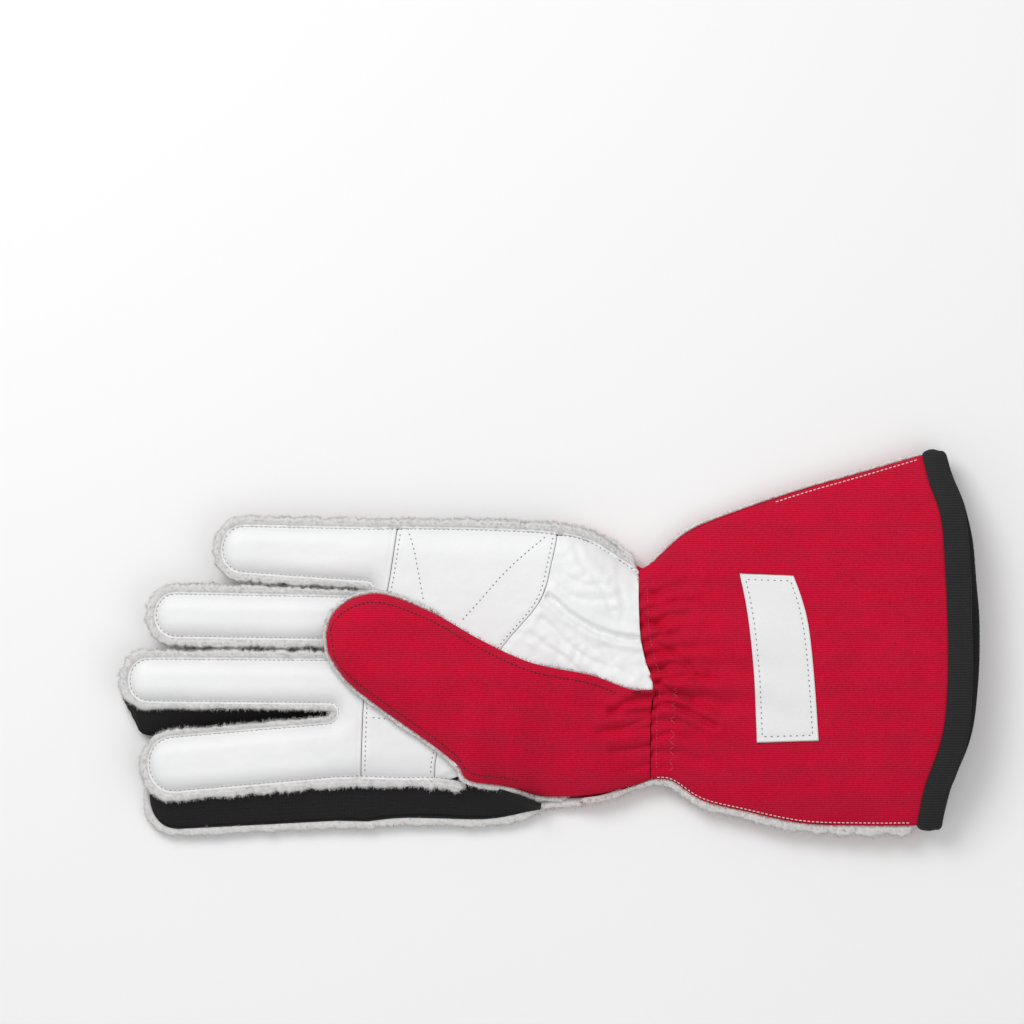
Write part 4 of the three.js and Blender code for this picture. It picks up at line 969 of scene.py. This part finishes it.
def cuff_height(p, u, v):
    share = np.clip((p[..., 0] - WRIST_X) / CUFF_LENGTH, 0, 1)
    crown = lerp(WRIST_CROWN, MOUTH_CROWN, smoothstep(share, 0, 0.9))
    round_end = 0.35 + 0.65 * smoothstep(v, 0.0, 0.035)
    z = cuff_seam(p[..., 0]) + GAP / 2 + crown * dome(2 * u - 1) * (0.86 + 0.14 * round_end)
    middle = np.sin(np.pi * u)
    z = z + gathers(u, v) * middle ** 0.5 + creased(p, CUFF_CREASES)
    x, y = p[..., 0], p[..., 1]
    z = z + 0.55 * noise(x / 38 + 3, y / 26, 81) * middle * smoothstep(v, 0.1, 0.5)
    z = z + 0.22 * noise(x / 13, y / 11, 82) * middle
    return z


def cuff_surface(u, v):
    p = cuff_patch(u, v)
    return np.dstack([p, cuff_height(p, u, v)])


def even_sides(n, share=0.6):
    t = np.linspace(0, 1, n)
    return lerp(t, 0.5 - 0.5 * np.cos(np.pi * t), share)


def wrist_rows(n):
    t = np.linspace(0, 1, n)
    return 0.45 * t ** 2.2 + 0.55 * t


u, v = np.meshgrid(even_sides(210), wrist_rows(165))
vertices, faces = sheet_mesh(cuff_surface(u, v), KNIT, 1)
make_object("cuff_palm_knit", vertices, faces, RED_FINISH, ["gauntlet_palm"])

back_outer_side = Line([tuple(hand(p)) for p in OUTER_SIDE_LOW] + [tuple(cuff(p)) for p in CUFF_OUTER_SIDE[1:]],
                       lambda p: np.array(p))
back_thumb_side = Line([tuple(hand(p)) for p in THUMB_SIDE_LOW[:4]] + [tuple(cuff(p)) for p in CUFF_THUMB_SIDE[1:]],
                       lambda p: np.array(p))


def back_mouth(t):
    p = mouth_line(t)
    return p + np.stack([BINDING_STEP * np.sin(np.pi * np.clip(t, 0, 1)), np.zeros_like(t)], -1)


class Mouth:
    def __call__(self, t):
        return back_mouth(np.asarray(t, float)) - np.array([GAP, 0])


back_cuff_patch = patch(Line(BACK_LOW_SEAM), Mouth(), back_outer_side, back_thumb_side)


def back_cuff_surface(u, v):
    p = back_cuff_patch(u, v)
    x, y = p[..., 0], p[..., 1]
    seam = np.where(x < WRIST_X, back_seam(x), cuff_seam(x) - GAP / 2)
    flat = 0.9 * smoothstep(share_along(WRIST_X * 2 - x), -0.12, 0)
    z = lerp(seam, flat, flat_dome(2 * u - 1))
    near = (x - WRIST_X + 4) / 9
    shirr = np.exp(-near ** 2) * np.sin(np.pi * u) * 0.8
    z = z + shirr * (0.5 + 0.5 * np.sin(2 * np.pi * (u * 21 + 0.4 * noise(x / 20, y / 20, 91))))
    return np.dstack([p, np.maximum(z, 0.02)])


u, v = np.meshgrid(even_sides(120, 1.0), np.linspace(0, 1, 110))
vertices, faces = sheet_mesh(back_cuff_surface(u, v), KNIT, -1)
make_object("cuff_back_knit", vertices, faces, RED_FINISH, ["gauntlet_back"])


# The thumb, folded over the palm

def thumb_rise(x, rows):
    a = share_along(x)
    k = np.clip(np.searchsorted(THUMB_RISE_AT, a) - 1, 0, len(rows) - 2)
    at, rows = np.array(THUMB_RISE_AT), np.array(rows)
    t = np.clip((a - at[k]) / (at[k + 1] - at[k]), 0, 1)
    return lerp(rows[k], rows[k + 1], t * t * (3 - 2 * t))


def palm_top(x):
    return palm_seam(x) + lerp(WRIST_CROWN, PALM_CROWN, closing(x))


def thumb_inner_height(x):
    return lerp(palm_top(x) + GAP, THUMB_SEAM_HEIGHT, thumb_rise(x, THUMB_RISE_INNER))


def thumb_outer_height(x):
    return lerp(back_seam(x) + 4 * GAP, THUMB_SEAM_HEIGHT, thumb_rise(x, THUMB_RISE_OUTER))


thumb_inner = Line(THUMB_INNER_EDGE)
thumb_outer = Line(THUMB_OUTER_EDGE)
thumb_root = Moved(Line(WRIST_SEAM[4:]), -GAP / 2)
thumb_patch = patch(thumb_root, straight(thumb_inner(1.0), thumb_outer(1.0)), thumb_inner, thumb_outer)


def thumb_height(p, u, v):
    x, y = p[..., 0], p[..., 1]
    edge = lerp(thumb_inner_height(x), thumb_outer_height(x), u)
    fade = np.sqrt(1 - smoothstep(v, 0.9, 1) * 0.8)
    full = edge + THUMB_CROWN * dome(2 * u - 1) * fade
    wrist = WRIST_SEAM_HEIGHT + GAP + WRIST_CROWN * dome(lerp(0.2, 1, u))
    z = lerp(np.maximum(wrist, edge), full, smoothstep(v, 0, 0.4))
    middle = np.sin(np.pi * u) ** 0.6
    z = z + 0.4 * noise(x / 24, y / 17, 101) * middle + 0.18 * noise(x / 9, y / 8, 102) * middle
    z = z + creased(p, THUMB_CREASES)
    for place, depth, width, reach in ((0.1, 1.0, 0.03, 0.1), (0.24, 1.9, 0.035, 0.2), (0.42, 1.2, 0.03, 0.12),
                                       (0.62, 0.9, 0.03, 0.1), (0.82, 0.8, 0.03, 0.09)):
        centre = place + 0.15 * v
        z = z - depth * np.exp(-((v / reach) ** 2)) * np.exp(-(((u - centre) / (width * (1 + 3 * v))) ** 2))
    return z


u, v = np.meshgrid(even_sides(104, 1.0), np.linspace(0, 1, 180))
p = thumb_patch(u, v)
vertices, faces = sheet_mesh(np.dstack([p, thumb_height(p, u, v)]), KNIT, 1)
make_object("thumb_knit", vertices, faces, RED_FINISH, ["thumb_back"])

under_inner = Line([(0.14, 0.026)] + THUMB_INNER_EDGE[3:])
under_outer = Moved(Line([(0.364, -0.276), (0.38, -0.236)] + THUMB_OUTER_EDGE[6:]), -GAP)
under_fold = Line([(0.14, 0.026), (0.2, -0.12), (0.3, -0.24), (0.364, -0.276)])
under_patch = patch(under_fold, straight(under_inner(1.0), under_outer(1.0)), under_inner, under_outer)
u, v = np.meshgrid(even_sides(60, 1.0), np.linspace(0, 1, 110))
p = under_patch(u, v)
low = palm_top(p[..., 0]) + GAP
edge = np.maximum(low, lerp(thumb_inner_height(p[..., 0]), thumb_outer_height(p[..., 0]), u) - 4 * GAP)
rest = np.maximum(THUMB_REST_HEIGHT * smoothstep(v, 0, 0.2), low)
z = lerp(edge, np.minimum(edge, rest), dome(2 * u - 1))
z = z + 0.2 * noise(p[..., 0] / 6, p[..., 1] / 5, 111) * dome(2 * u - 1)
vertices, faces = sheet_mesh(np.dstack([p, z]), LEATHER, -1)
make_object("thumb_leather", vertices, faces, LEATHER_FINISH, ["thumb_palm"])


# Raw fleece edges of the outside seams

def room_beside(path, widest, share=0.405):
    """How wide an edge can be: half the space to the nearest other stretch of its own path."""
    n = len(path)
    room = np.full(n, widest)
    step = np.linalg.norm(path[1] - path[0])
    away = int(16 / step)
    for i in range(n):
        far = np.concatenate([path[:max(0, i - away)], path[i + away:]])
        if len(far):
            room[i] = min(widest, share * np.sqrt(((far - path[i]) ** 2).sum(1).min()))
    kernel = np.ones(7) / 7
    return np.convolve(np.pad(room, 3, mode="edge"), kernel, "valid")


def seam_edge(name, path, top, widest, node, seed, fuzz):
    path = resample(path, 0.8)
    room = np.minimum(room_beside(path, 3.6), widest(path))

    def width(points):
        t = np.linspace(0, 1, len(points))
        return np.interp(t, np.linspace(0, 1, len(room)), room)

    vertices, faces = raw_edge(path, 1, top, width, 1.5, seed, fuzz)
    return make_object(name, vertices, faces, LINING_FINISH, [node])


def in_web(path):
    """Near 1 along the open space between the middle and first fingers."""
    low, high = pixels(WEB_SPACE)
    x, y = path[:, 0], path[:, 1]
    return (smoothstep(x, low[0] - 6, low[0] + 2) * (1 - smoothstep(x, high[0] - 8, high[0]))
            * smoothstep(y, low[1] - 2, low[1]) * (1 - smoothstep(y, high[1], high[1] + 2)))


def palm_edge_width(path):
    return lerp(3.3, 2.1, in_web(path))


def back_edge_width(path):
    between_fingers = 1 - smoothstep(room_beside(path, 6.0), 3.6, 5.4)
    outer = smoothstep(path[:, 1], hand((0, 0.46))[1], hand((0, 0.475))[1])
    lower = 1 - smoothstep(path[:, 1], hand((0, -0.44))[1], hand((0, -0.38))[1])
    wide = lerp(lerp(lerp(2.6, 0.8, between_fingers), 0.9, outer), 3.2, lower)
    return lerp(wide, 0.7, in_web(path))


seam_edge("palm_lining_edge", palm_path[2:-2], lambda p: palm_seam(p[:, 0]) - 0.1, palm_edge_width,
          "palm_seam_edge", 5, 6.0)
seam_edge("back_lining_edge", back_path[6:-2], lambda p: back_seam(p[:, 0]) + 0.9, back_edge_width,
          "back_seam_edge", 6, 2.4)


def trimmed(line, start, end, count=200):
    return line(np.linspace(start, end, count))


thumb_rim = np.vstack([trimmed(thumb_outer, 0.22, 1.0, 200), trimmed(thumb_inner, 1.0, 0.62, 110)])


def thumb_rim_height(points):
    outer = distance_to(points, trimmed(thumb_outer, 0, 1)) < distance_to(points, trimmed(thumb_inner, 0, 1))
    return np.where(outer, thumb_outer_height(points[:, 0]), thumb_inner_height(points[:, 0])) - 1.0


def thumb_rim_width(points):
    return 1.6 + 0.9 * (1 - smoothstep(share_along(points[:, 0]), 0.3, 0.4)) * (points[:, 1] < 0)


vertices, faces = raw_edge(thumb_rim, -1, thumb_rim_height, thumb_rim_width, 1.2, 8, 3.2, 0.9)
make_object("thumb_lining_edge", vertices, faces, LINING_FINISH, ["thumb_seam_edge"])


def cuff_side_path(side_line, u, start, end, count=240):
    back = side_line(np.linspace(0, 1, 400))
    palm = cuff_patch(np.full(200, float(u)), np.linspace(0, 1, 200))
    x = np.linspace(start, end, count)
    order = np.argsort(back[:, 0])
    y = np.interp(x, back[order, 0], back[order, 1])
    yp = np.interp(x, palm[:, 0], palm[:, 1])
    pick = np.maximum if u < 0.5 else np.minimum
    return np.column_stack([x, np.where(x > palm[0, 0], pick(y, yp), y)])


thumb_cuff_path = cuff_side_path(back_thumb_side, 1, WRIST_X - 0.125 * HAND_LENGTH, cuff((0.8, 0))[0])
outer_cuff_path = cuff_side_path(back_outer_side, 0, WRIST_X + 2, cuff((0.815, 0))[0])


def scalloped(points):
    x = points[:, 0]
    arches = np.abs(np.sin(x / 3.7 + 0.6 * noise(x / 9, x * 0, 121)))
    fade = 0.55 + 0.45 * smoothstep(x, WRIST_X - 8, WRIST_X + 8)
    return (3.1 + 1.5 * arches * smoothstep(x, WRIST_X + 5, WRIST_X + 60)) * fade


vertices, faces = raw_edge(thumb_cuff_path, 1, lambda p: cuff_seam(p[:, 0]) - 0.4, scalloped, 1.7, 9, 4.5, 1.3)
make_object("cuff_edge_thumb", vertices, faces, LINING_FINISH, ["cuff_edge_thumb_side"])
vertices, faces = raw_edge(outer_cuff_path, -1, lambda p: cuff_seam(p[:, 0]) - 1.6, 1.3, 1.3, 10, 1.2, 0.7)
make_object("cuff_edge_outer", vertices, faces, LINING_FINISH, ["cuff_edge_outer_side"])


# Loose red fibres along the cut edges of the knit

def fibre_line(name, points, ways, length, seed, per_mm=3.0, finish=RED_FIBRE, slot="red_knit", scatter=0.35):
    rng = np.random.default_rng(seed)
    total = np.linalg.norm(np.diff(points, axis=0), axis=1).sum()
    pick = rng.uniform(0, len(points) - 1.001, int(total * per_mm))
    i, t = pick.astype(int), (pick % 1)[:, None]
    base = lerp(points[i], points[i + 1], t) + rng.normal(0, scatter, (len(pick), 3))
    vertices, faces = fibres(base, ways[i], length, 0.07, seed + 1, 0.7)
    make_object(name, vertices, faces, finish)


def rim_line(plan, height, side, up=0.25):
    points = np.column_stack([plan, height])
    ways = np.column_stack([plan_outward(plan, side), np.full(len(plan), up)])
    return points, ways


edge = trimmed(thumb_inner, 0.02, 1.0, 300)
fibre_line("thumb_fibres_inner", *rim_line(edge, thumb_inner_height(edge[:, 0]), 1, 0.4), 1.5, 131, 5.0)
edge = trimmed(thumb_outer, 0.1, 1.0, 300)
fibre_line("thumb_fibres_outer", *rim_line(edge, thumb_outer_height(edge[:, 0]), -1, 0.4), 1.2, 133, 4.0)
edge = thumb_patch(np.linspace(0, 1, 80), np.ones(80))
fibre_line("thumb_fibres_tip", *rim_line(edge, thumb_outer_height(edge[:, 0]), 1, 0.4), 1.2, 135, 4.0)
edge = wrist_line(np.linspace(0, 0.62, 200))
heights = cuff_height(edge, np.linspace(0, 0.62, 200), np.zeros(200))
fibre_line("wrist_fibres", *rim_line(edge, heights - 0.6, 1, 0.5), 1.1, 137, 5.0)
edge = thumb_cuff_path
fibre_line("cuff_fibres_thumb", *rim_line(edge, cuff_seam(edge[:, 0]) + 0.8, 1, 0.6), 1.2, 139, 4.0)
edge = outer_cuff_path
fibre_line("cuff_fibres_outer", *rim_line(edge, cuff_seam(edge[:, 0]), -1, 0.3), 0.9, 141, 3.0)


fleck = back_path[(back_path[:, 0] > pixels([LOOSE_FIBRES_FROM])[0][0]) & (back_path[:, 1] < hand((0, -0.36))[1])]
fibre_line("edge_fibres_thumb", *rim_line(fleck + plan_outward(fleck, 1) * 2.2, back_seam(fleck[:, 0]) + 1.2, 1, 0.2),
           1.3, 145, 2.2, scatter=0.5)


# Sewing threads

def rows_of(name, paths, finish, slot, **how):
    parts = [stitches(path, height, **how) for path, height in paths]
    vertices, faces = joined(parts)
    make_object(name, vertices, faces, finish)


def inset(path, distance, side=1):
    path = resample(path, 0.8)
    moved_path = path - plan_outward(path, side) * distance
    keep = distance_to(moved_path, path) > 0.8 * distance
    return moved_path[keep]


def runs_of(path, largest=4.0):
    """The path cut where neighbouring points lie far apart."""
    gaps = np.linalg.norm(np.diff(path, axis=0), axis=1)
    cuts = np.flatnonzero(gaps > largest) + 1
    return [part for part in np.split(path, cuts) if len(part) > 4]


def on_patch(p):
    return leather_height(p, [knuckle_line, curved_line])


outline_stitches = [(part, leather_height) for part in runs_of(inset(palm_path, 1.25), 3.0)]
leather_stitches = outline_stitches + [
    (knuckle_line[4:-4] + np.array([1.5, 0]), on_patch),
    (curved_line[4:-4] - np.array([1.6, 0]), on_patch),
] + [(pixels(seam), on_patch) for seam in PATCH_SEAMS]
# These stitches' dark grey is partly thread colour and partly painted shade of their holes
rows_of("leather_threads", leather_stitches, STITCH_GREY_AND_HOLE_SHADE, None, spacing=1.95, length=0.8, radius=0.2, lift=0.03)


def surface_stitches(u, v, plan, height, spacing, length, radius, lift, zigzag=0.0):
    p = plan(u, v)
    z = height(p, u, v)
    points = resample(np.column_stack([p, z]), spacing)
    if zigzag:
        run = np.gradient(points, axis=0)
        side = np.column_stack([-run[:, 1], run[:, 0], run[:, 0] * 0])
        side /= np.linalg.norm(side, axis=1, keepdims=True)
        points = points + side * (np.where(np.arange(len(points)) % 2, 1, -1) * zigzag)[:, None]
    mid = (points[1:] + points[:-1]) / 2
    run = points[1:] - points[:-1]
    run /= np.linalg.norm(run, axis=1, keepdims=True)
    side = np.cross(np.array([0, 0, 1.0]), run)
    side /= np.linalg.norm(side, axis=1, keepdims=True)
    up = np.cross(run, side)
    return capsules(mid + up * lift, run, up, length, radius)


def thumb_side_stitches(start, outer):
    v = np.linspace(start, 0.965, 260)
    wide = np.linalg.norm(thumb_patch(np.zeros(260), v) - thumb_patch(np.ones(260), v), axis=1)
    u = np.clip(3.4 / wide, 0, 0.2)
    return surface_stitches(1 - u if outer else u, v, thumb_patch, thumb_height, 1.7, 1.15, 0.24, 0.08)


parts = [thumb_side_stitches(0.1, False), thumb_side_stitches(0.36, True),
         surface_stitches(np.linspace(0.15, 0.85, 100), 0.965 * np.ones(100), thumb_patch, thumb_height,
                          1.7, 1.15, 0.24, 0.08)]
vertices, faces = joined(parts)
make_object("thumb_threads", vertices, faces, THREAD_DARK)

white_parts = [
    surface_stitches(0.992 * np.ones(300), np.linspace(0.02, 0.97, 300), cuff_patch, cuff_height,
                     1.75, 1.15, 0.2, 0.05),
    surface_stitches(0.008 * np.ones(200), np.linspace(0.5, 0.98, 200), cuff_patch, cuff_height,
                     1.75, 1.15, 0.2, 0.05),
]
vertices, faces = joined(white_parts)
make_object("cuff_threads", vertices, faces, THREAD_WHITE)

red_parts = [
    surface_stitches(np.linspace(0.56, 0.96, 160), np.full(160, 0.075), cuff_patch, cuff_height,
                     2.3, 2.5, 0.17, 0.05, 1.2),
    surface_stitches(np.linspace(0.1, 0.5, 160), np.full(160, 0.03), cuff_patch, cuff_height, 1.8, 1.2, 0.17, 0.03),
    surface_stitches(np.linspace(0.56, 0.95, 120), np.full(120, 0.02), cuff_patch, cuff_height, 1.8, 1.2, 0.17, 0.03),
]
vertices, faces = joined(red_parts)
make_object("gather_threads", vertices, faces, THREAD_RED)

back_parts = []
for line in (top_seam_line + np.array([1.6, 0]), low_seam_line - np.array([1.6, 0]),
             low_seam_line + np.array([1.6, 0])):
    path = resample(line[6:-6], 1.9)
    mid, run = (path[1:] + path[:-1]) / 2, np.diff(path, axis=0)
    run = np.column_stack([run / np.linalg.norm(run, axis=1, keepdims=True), np.zeros(len(run))])
    up = np.tile(np.array([0, 0, -1.0]), (len(run), 1))
    z = np.maximum(back_height(mid, [top_seam_line, low_seam_line]), 0.12)
    back_parts.append(capsules(np.column_stack([mid, z]), run, up, 1.15, 0.2))
vertices, faces = joined(back_parts)
make_object("back_threads", vertices, faces, THREAD_WHITE)


# The binding: one folded band round the mouth

def mouth_loop(count=400):
    t = 0.5 - 0.5 * np.cos(np.pi * np.linspace(0, 1, count))
    p = mouth_line(t)
    upper = np.column_stack([p, cuff_height(p, t, np.ones(count))])
    q = back_mouth(t)
    z = lerp(cuff_seam(q[:, 0]) - GAP / 2, 0.9, flat_dome(2 * t - 1))
    lower = np.column_stack([q, z])
    loop = np.vstack([upper, lower[::-1][1:-1]])
    closed = np.vstack([loop, loop[:1]])
    return resample(closed, 1.0)[:-1]


def binding_piece():
    loop = mouth_loop()
    n = len(loop)
    smooth = loop.copy()
    for _ in range(6):
        smooth = (np.roll(smooth, 1, 0) + smooth * 2 + np.roll(smooth, -1, 0)) / 4
    run = np.roll(smooth, -1, 0) - np.roll(smooth, 1, 0)
    run /= np.linalg.norm(run, axis=1, keepdims=True)
    centre = smooth.mean(0)
    out = np.tile(np.array([1.0, 0, 0]), (n, 1))
    out -= run * (out * run).sum(1, keepdims=True)
    out /= np.linalg.norm(out, axis=1, keepdims=True)
    thick = np.cross(run, out)
    away = ((smooth - centre) * thick).sum(1, keepdims=True)
    thick *= np.sign(np.where(np.abs(away) < 1e-6, 1, away))
    for _ in range(4):
        thick = (np.roll(thick, 1, 0) + thick * 2 + np.roll(thick, -1, 0)) / 4
    thick /= np.linalg.norm(thick, axis=1, keepdims=True)
    angle = np.linspace(0, 2 * np.pi, 28, endpoint=False)
    along = np.arange(n) / 1.0
    width, height = BINDING_WIDTH, BINDING_THICKNESS
    rows = []
    corner = np.abs(run[:, 2]) ** 2
    for _ in range(8):
        corner = (np.roll(corner, 1) + corner * 2 + np.roll(corner, -1)) / 4
    for a in angle:
        c, s = math.cos(a), math.sin(a)
        across = 0.5 * (1 + np.sign(c) * abs(c) ** lerp(0.62, 1.0, corner)) * width - 0.4
        rise = 0.5 * math.copysign(abs(s) ** 0.8, s) * height * (1 + 0.55 * corner)
        crease = 0.5 * np.exp(-((across - 6.8) / 0.9) ** 2) * (1 if s > 0 else 0)
        lumps = 0.22 * noise(along / 9, along * 0 + a * 1.5, 151) + 0.1 * noise(along / 2.4, along * 0 + a * 3, 152)
        reach = across + 0.4 * noise(along / 15, along * 0 + 2, 153) * (c > 0)
        rows.append(smooth + out * reach[:, None] + thick * (rise - crease + lumps * 0.7)[:, None])
    grid = np.stack(rows, 1)
    grid[..., 2] = np.maximum(grid[..., 2], 0.02 + 0.02 * np.abs(np.sin(angle))[None])
    k = len(angle)
    i, j = np.meshgrid(np.arange(n), np.arange(k), indexing="ij")
    a, b = i * k + j, i * k + (j + 1) % k
    c, d = ((i + 1) % n) * k + j, ((i + 1) % n) * k + (j + 1) % k
    faces = np.stack([a, b, d, c], -1).reshape(-1, 4)
    vertices = grid.reshape(-1, 3)
    make_object("mouth_binding", vertices, outward_faces(vertices, faces), BINDING_FINISH, ["binding"])


binding_piece()


# Bare label with a sewn border, glossy strip and round-ended badge

LABEL_WRIST = Line(pixels([(738, 573), (744.5, 605), (749, 640), (752.5, 680), (755, 741)]).tolist(), np.array)
LABEL_MOUTH = Line(pixels([(791, 575), (799, 597), (805, 620), (809, 650), (812.5, 690), (816, 739)]).tolist(),
                   np.array)


def cuff_uv(points):
    """The shares across and along the cuff of places in its plan."""
    u, v = np.full(points.shape[:-1], 0.5), np.full(points.shape[:-1], 0.5)
    for _ in range(8):
        p = cuff_patch(u, v)
        pu, pv = (cuff_patch(u + 1e-3, v) - p) / 1e-3, (cuff_patch(u, v + 1e-3) - p) / 1e-3
        off = points - p
        size = pu[..., 0] * pv[..., 1] - pu[..., 1] * pv[..., 0]
        u = u + (off[..., 0] * pv[..., 1] - off[..., 1] * pv[..., 0]) / size
        v = v + (pu[..., 0] * off[..., 1] - pu[..., 1] * off[..., 0]) / size
    return u, v


def label_at(s, t, lift):
    """s runs along the label from the outer side, t from the wrist to the mouth."""
    p = lerp(LABEL_WRIST(s), LABEL_MOUTH(s), t[..., None])
    u, v = cuff_uv(p)
    return np.concatenate([p, (cuff_height(p, u, v) + lift)[..., None]], -1)


s, t = np.meshgrid(np.linspace(0, 1, 90), np.linspace(0, 1, 34))
ruck = 0.12 * noise(s * 9, t * 3, 161)
grid = label_at(s, t, 0.0)
rim = np.minimum(np.minimum(s, 1 - s) * 70, np.minimum(t, 1 - t) * 22)
grid[..., 2] += 0.62 + ruck - 0.25 * bump(rim - 2, 0.7)
vertices, faces = sheet_mesh(grid, 0.5, 1)
make_object("cuff_label_weave", vertices, faces, LABEL_FINISH, ["cuff_label"])

ring = [(0.035, 0.09), (0.965, 0.09), (0.965, 0.91), (0.035, 0.91), (0.035, 0.09)]
parts = []
for a, b in zip(ring[:-1], ring[1:]):
    w = np.linspace(0, 1, 120)
    points = resample(label_at(lerp(a[0], b[0], w), lerp(a[1], b[1], w), 0.55), 2.1)
    mid, run = (points[1:] + points[:-1]) / 2, np.diff(points, axis=0)
    run /= np.linalg.norm(run, axis=1, keepdims=True)
    side = np.cross(np.array([0, 0, 1.0]), run)
    side /= np.linalg.norm(side, axis=1, keepdims=True)
    parts.append(capsules(mid, run, np.cross(run, side), 0.8, 0.17))
vertices, faces = joined(parts)
# The label's stitches share that grey: thread colour and painted shade of their holes
make_object("label_threads", vertices, faces, STITCH_GREY_AND_HOLE_SHADE)


def flat_band(name, line, wide, low, high, finish, nodes=(), rounded=0.0):
    points = Line(line, cuff)(np.linspace(0, 1, 120))
    points = resample(points, 0.8)
    side = plan_outward(points, 1)
    n = len(points)
    along = np.linspace(0, 1, n)
    length = 0.8 * n
    close = np.minimum(along, 1 - along) * length
    half = wide / 2 * np.ones(n)
    if rounded:
        r = np.clip(close / rounded, 0, 1)
        half = half - rounded * (1 - np.sqrt(1 - (1 - r) ** 2))
    columns = np.linspace(-1, 1, 17)
    bottom, top = [], []
    for c in columns:
        p = points + side * (half * c)[:, None]
        puff = (1 - abs(c) ** 6) * 0.12 + 0.04 * noise(p[:, 0] / 5, p[:, 1] / 5, 171)
        bottom.append(np.column_stack([p, np.maximum(low + 0.12 - puff, 0.0)]))
        top.append(np.column_stack([p, np.full(n, high)]))
    vertices, faces = ribbon_mesh(np.stack(bottom, 1), np.stack(top, 1))
    make_object(name, vertices, faces, finish, nodes)


flat_band("gloss_strip_band", [(0.21, 0.26), (0.175, 0), (0.15, -0.3)], 10, 0.0, 0.75, STRIP_FINISH,
          ["cuff_strip"])
flat_band("badge_border_band", [(0.33, 0.18), (0.3, -0.02), (0.275, -0.25)], 12.6, 0.1, 0.75, BORDER_FINISH,
          ["cuff_badge"], 4.0)
flat_band("badge_core_band", [(0.328, 0.166), (0.3, -0.02), (0.277, -0.236)], 10.4, 0.0, 0.5, BADGE_FINISH,
          (), 3.4)


# Floor, soft studio light and the overhead camera

def floor():
    size, rows = 2.4, [(-1, -1), (1, -1), (1, 1), (-1, 1)]
    mesh = bpy.data.meshes.new("floor")
    mesh.from_pydata([(x * size, y * size, z) for z in (-0.012, -0.0002) for x, y in rows], [],
                     [(3, 2, 1, 0), (4, 5, 6, 7), (0, 1, 5, 4), (1, 2, 6, 5), (2, 3, 7, 6), (3, 0, 4, 7)])
    material, nodes, links, shader, where = finish_nodes("pale_floor", (0.93, 0.93, 0.93), 0.8, specular=0.1)
    soft = texture(nodes, links, where, "ShaderNodeTexNoise", 3, Detail=2.0)
    links.new(mixed(nodes, links, soft.outputs["Fac"], (0.925, 0.925, 0.925), (0.945, 0.945, 0.945)),
              shader.inputs["Base Color"])
    mesh.materials.append(material)
    piece = bpy.data.objects.new("floor", mesh)
    bpy.context.collection.objects.link(piece)


def area_light(name, place, aim, size, power):
    light = bpy.data.lights.new(name, "AREA")
    light.energy = power
    light.shape = "RECTANGLE"
    light.size = light.size_y = size
    piece = bpy.data.objects.new(name, light)
    piece.location = place
    way = np.array(aim) - np.array(place)
    piece.rotation_euler = Vector(way.tolist()).to_track_quat("-Z", "Y").to_euler()
    bpy.context.collection.objects.link(piece)


floor()
area_light("key_light", (-0.55, 0.75, 1.1), (0, 0, 0), 0.7, 9.6)
area_light("fill_light", (0.8, -0.5, 1.2), (0, 0, 0), 1.0, 2.6)
area_light("top_light", (0.0, 0.1, 1.6), (0, 0, 0), 1.2, 2.4)

world = bpy.data.worlds.new("studio")
world.use_nodes = True
world.node_tree.nodes["Background"].inputs["Color"].default_value = (1, 1, 1, 1)
world.node_tree.nodes["Background"].inputs["Strength"].default_value = 0.48
bpy.context.scene.world = world
bpy.context.scene.view_settings.view_transform = "Standard"

camera = bpy.data.cameras.new("overhead")
camera.sensor_width = SENSOR
camera.lens = SENSOR * CAMERA_HEIGHT / VIEW_WIDTH
camera_piece = bpy.data.objects.new("overhead", camera)
centre = pixels([FRAME_CENTRE])[0] * MM
camera_piece.location = (centre[0], centre[1], CAMERA_HEIGHT)
bpy.context.collection.objects.link(camera_piece)
bpy.context.scene.camera = camera_piece
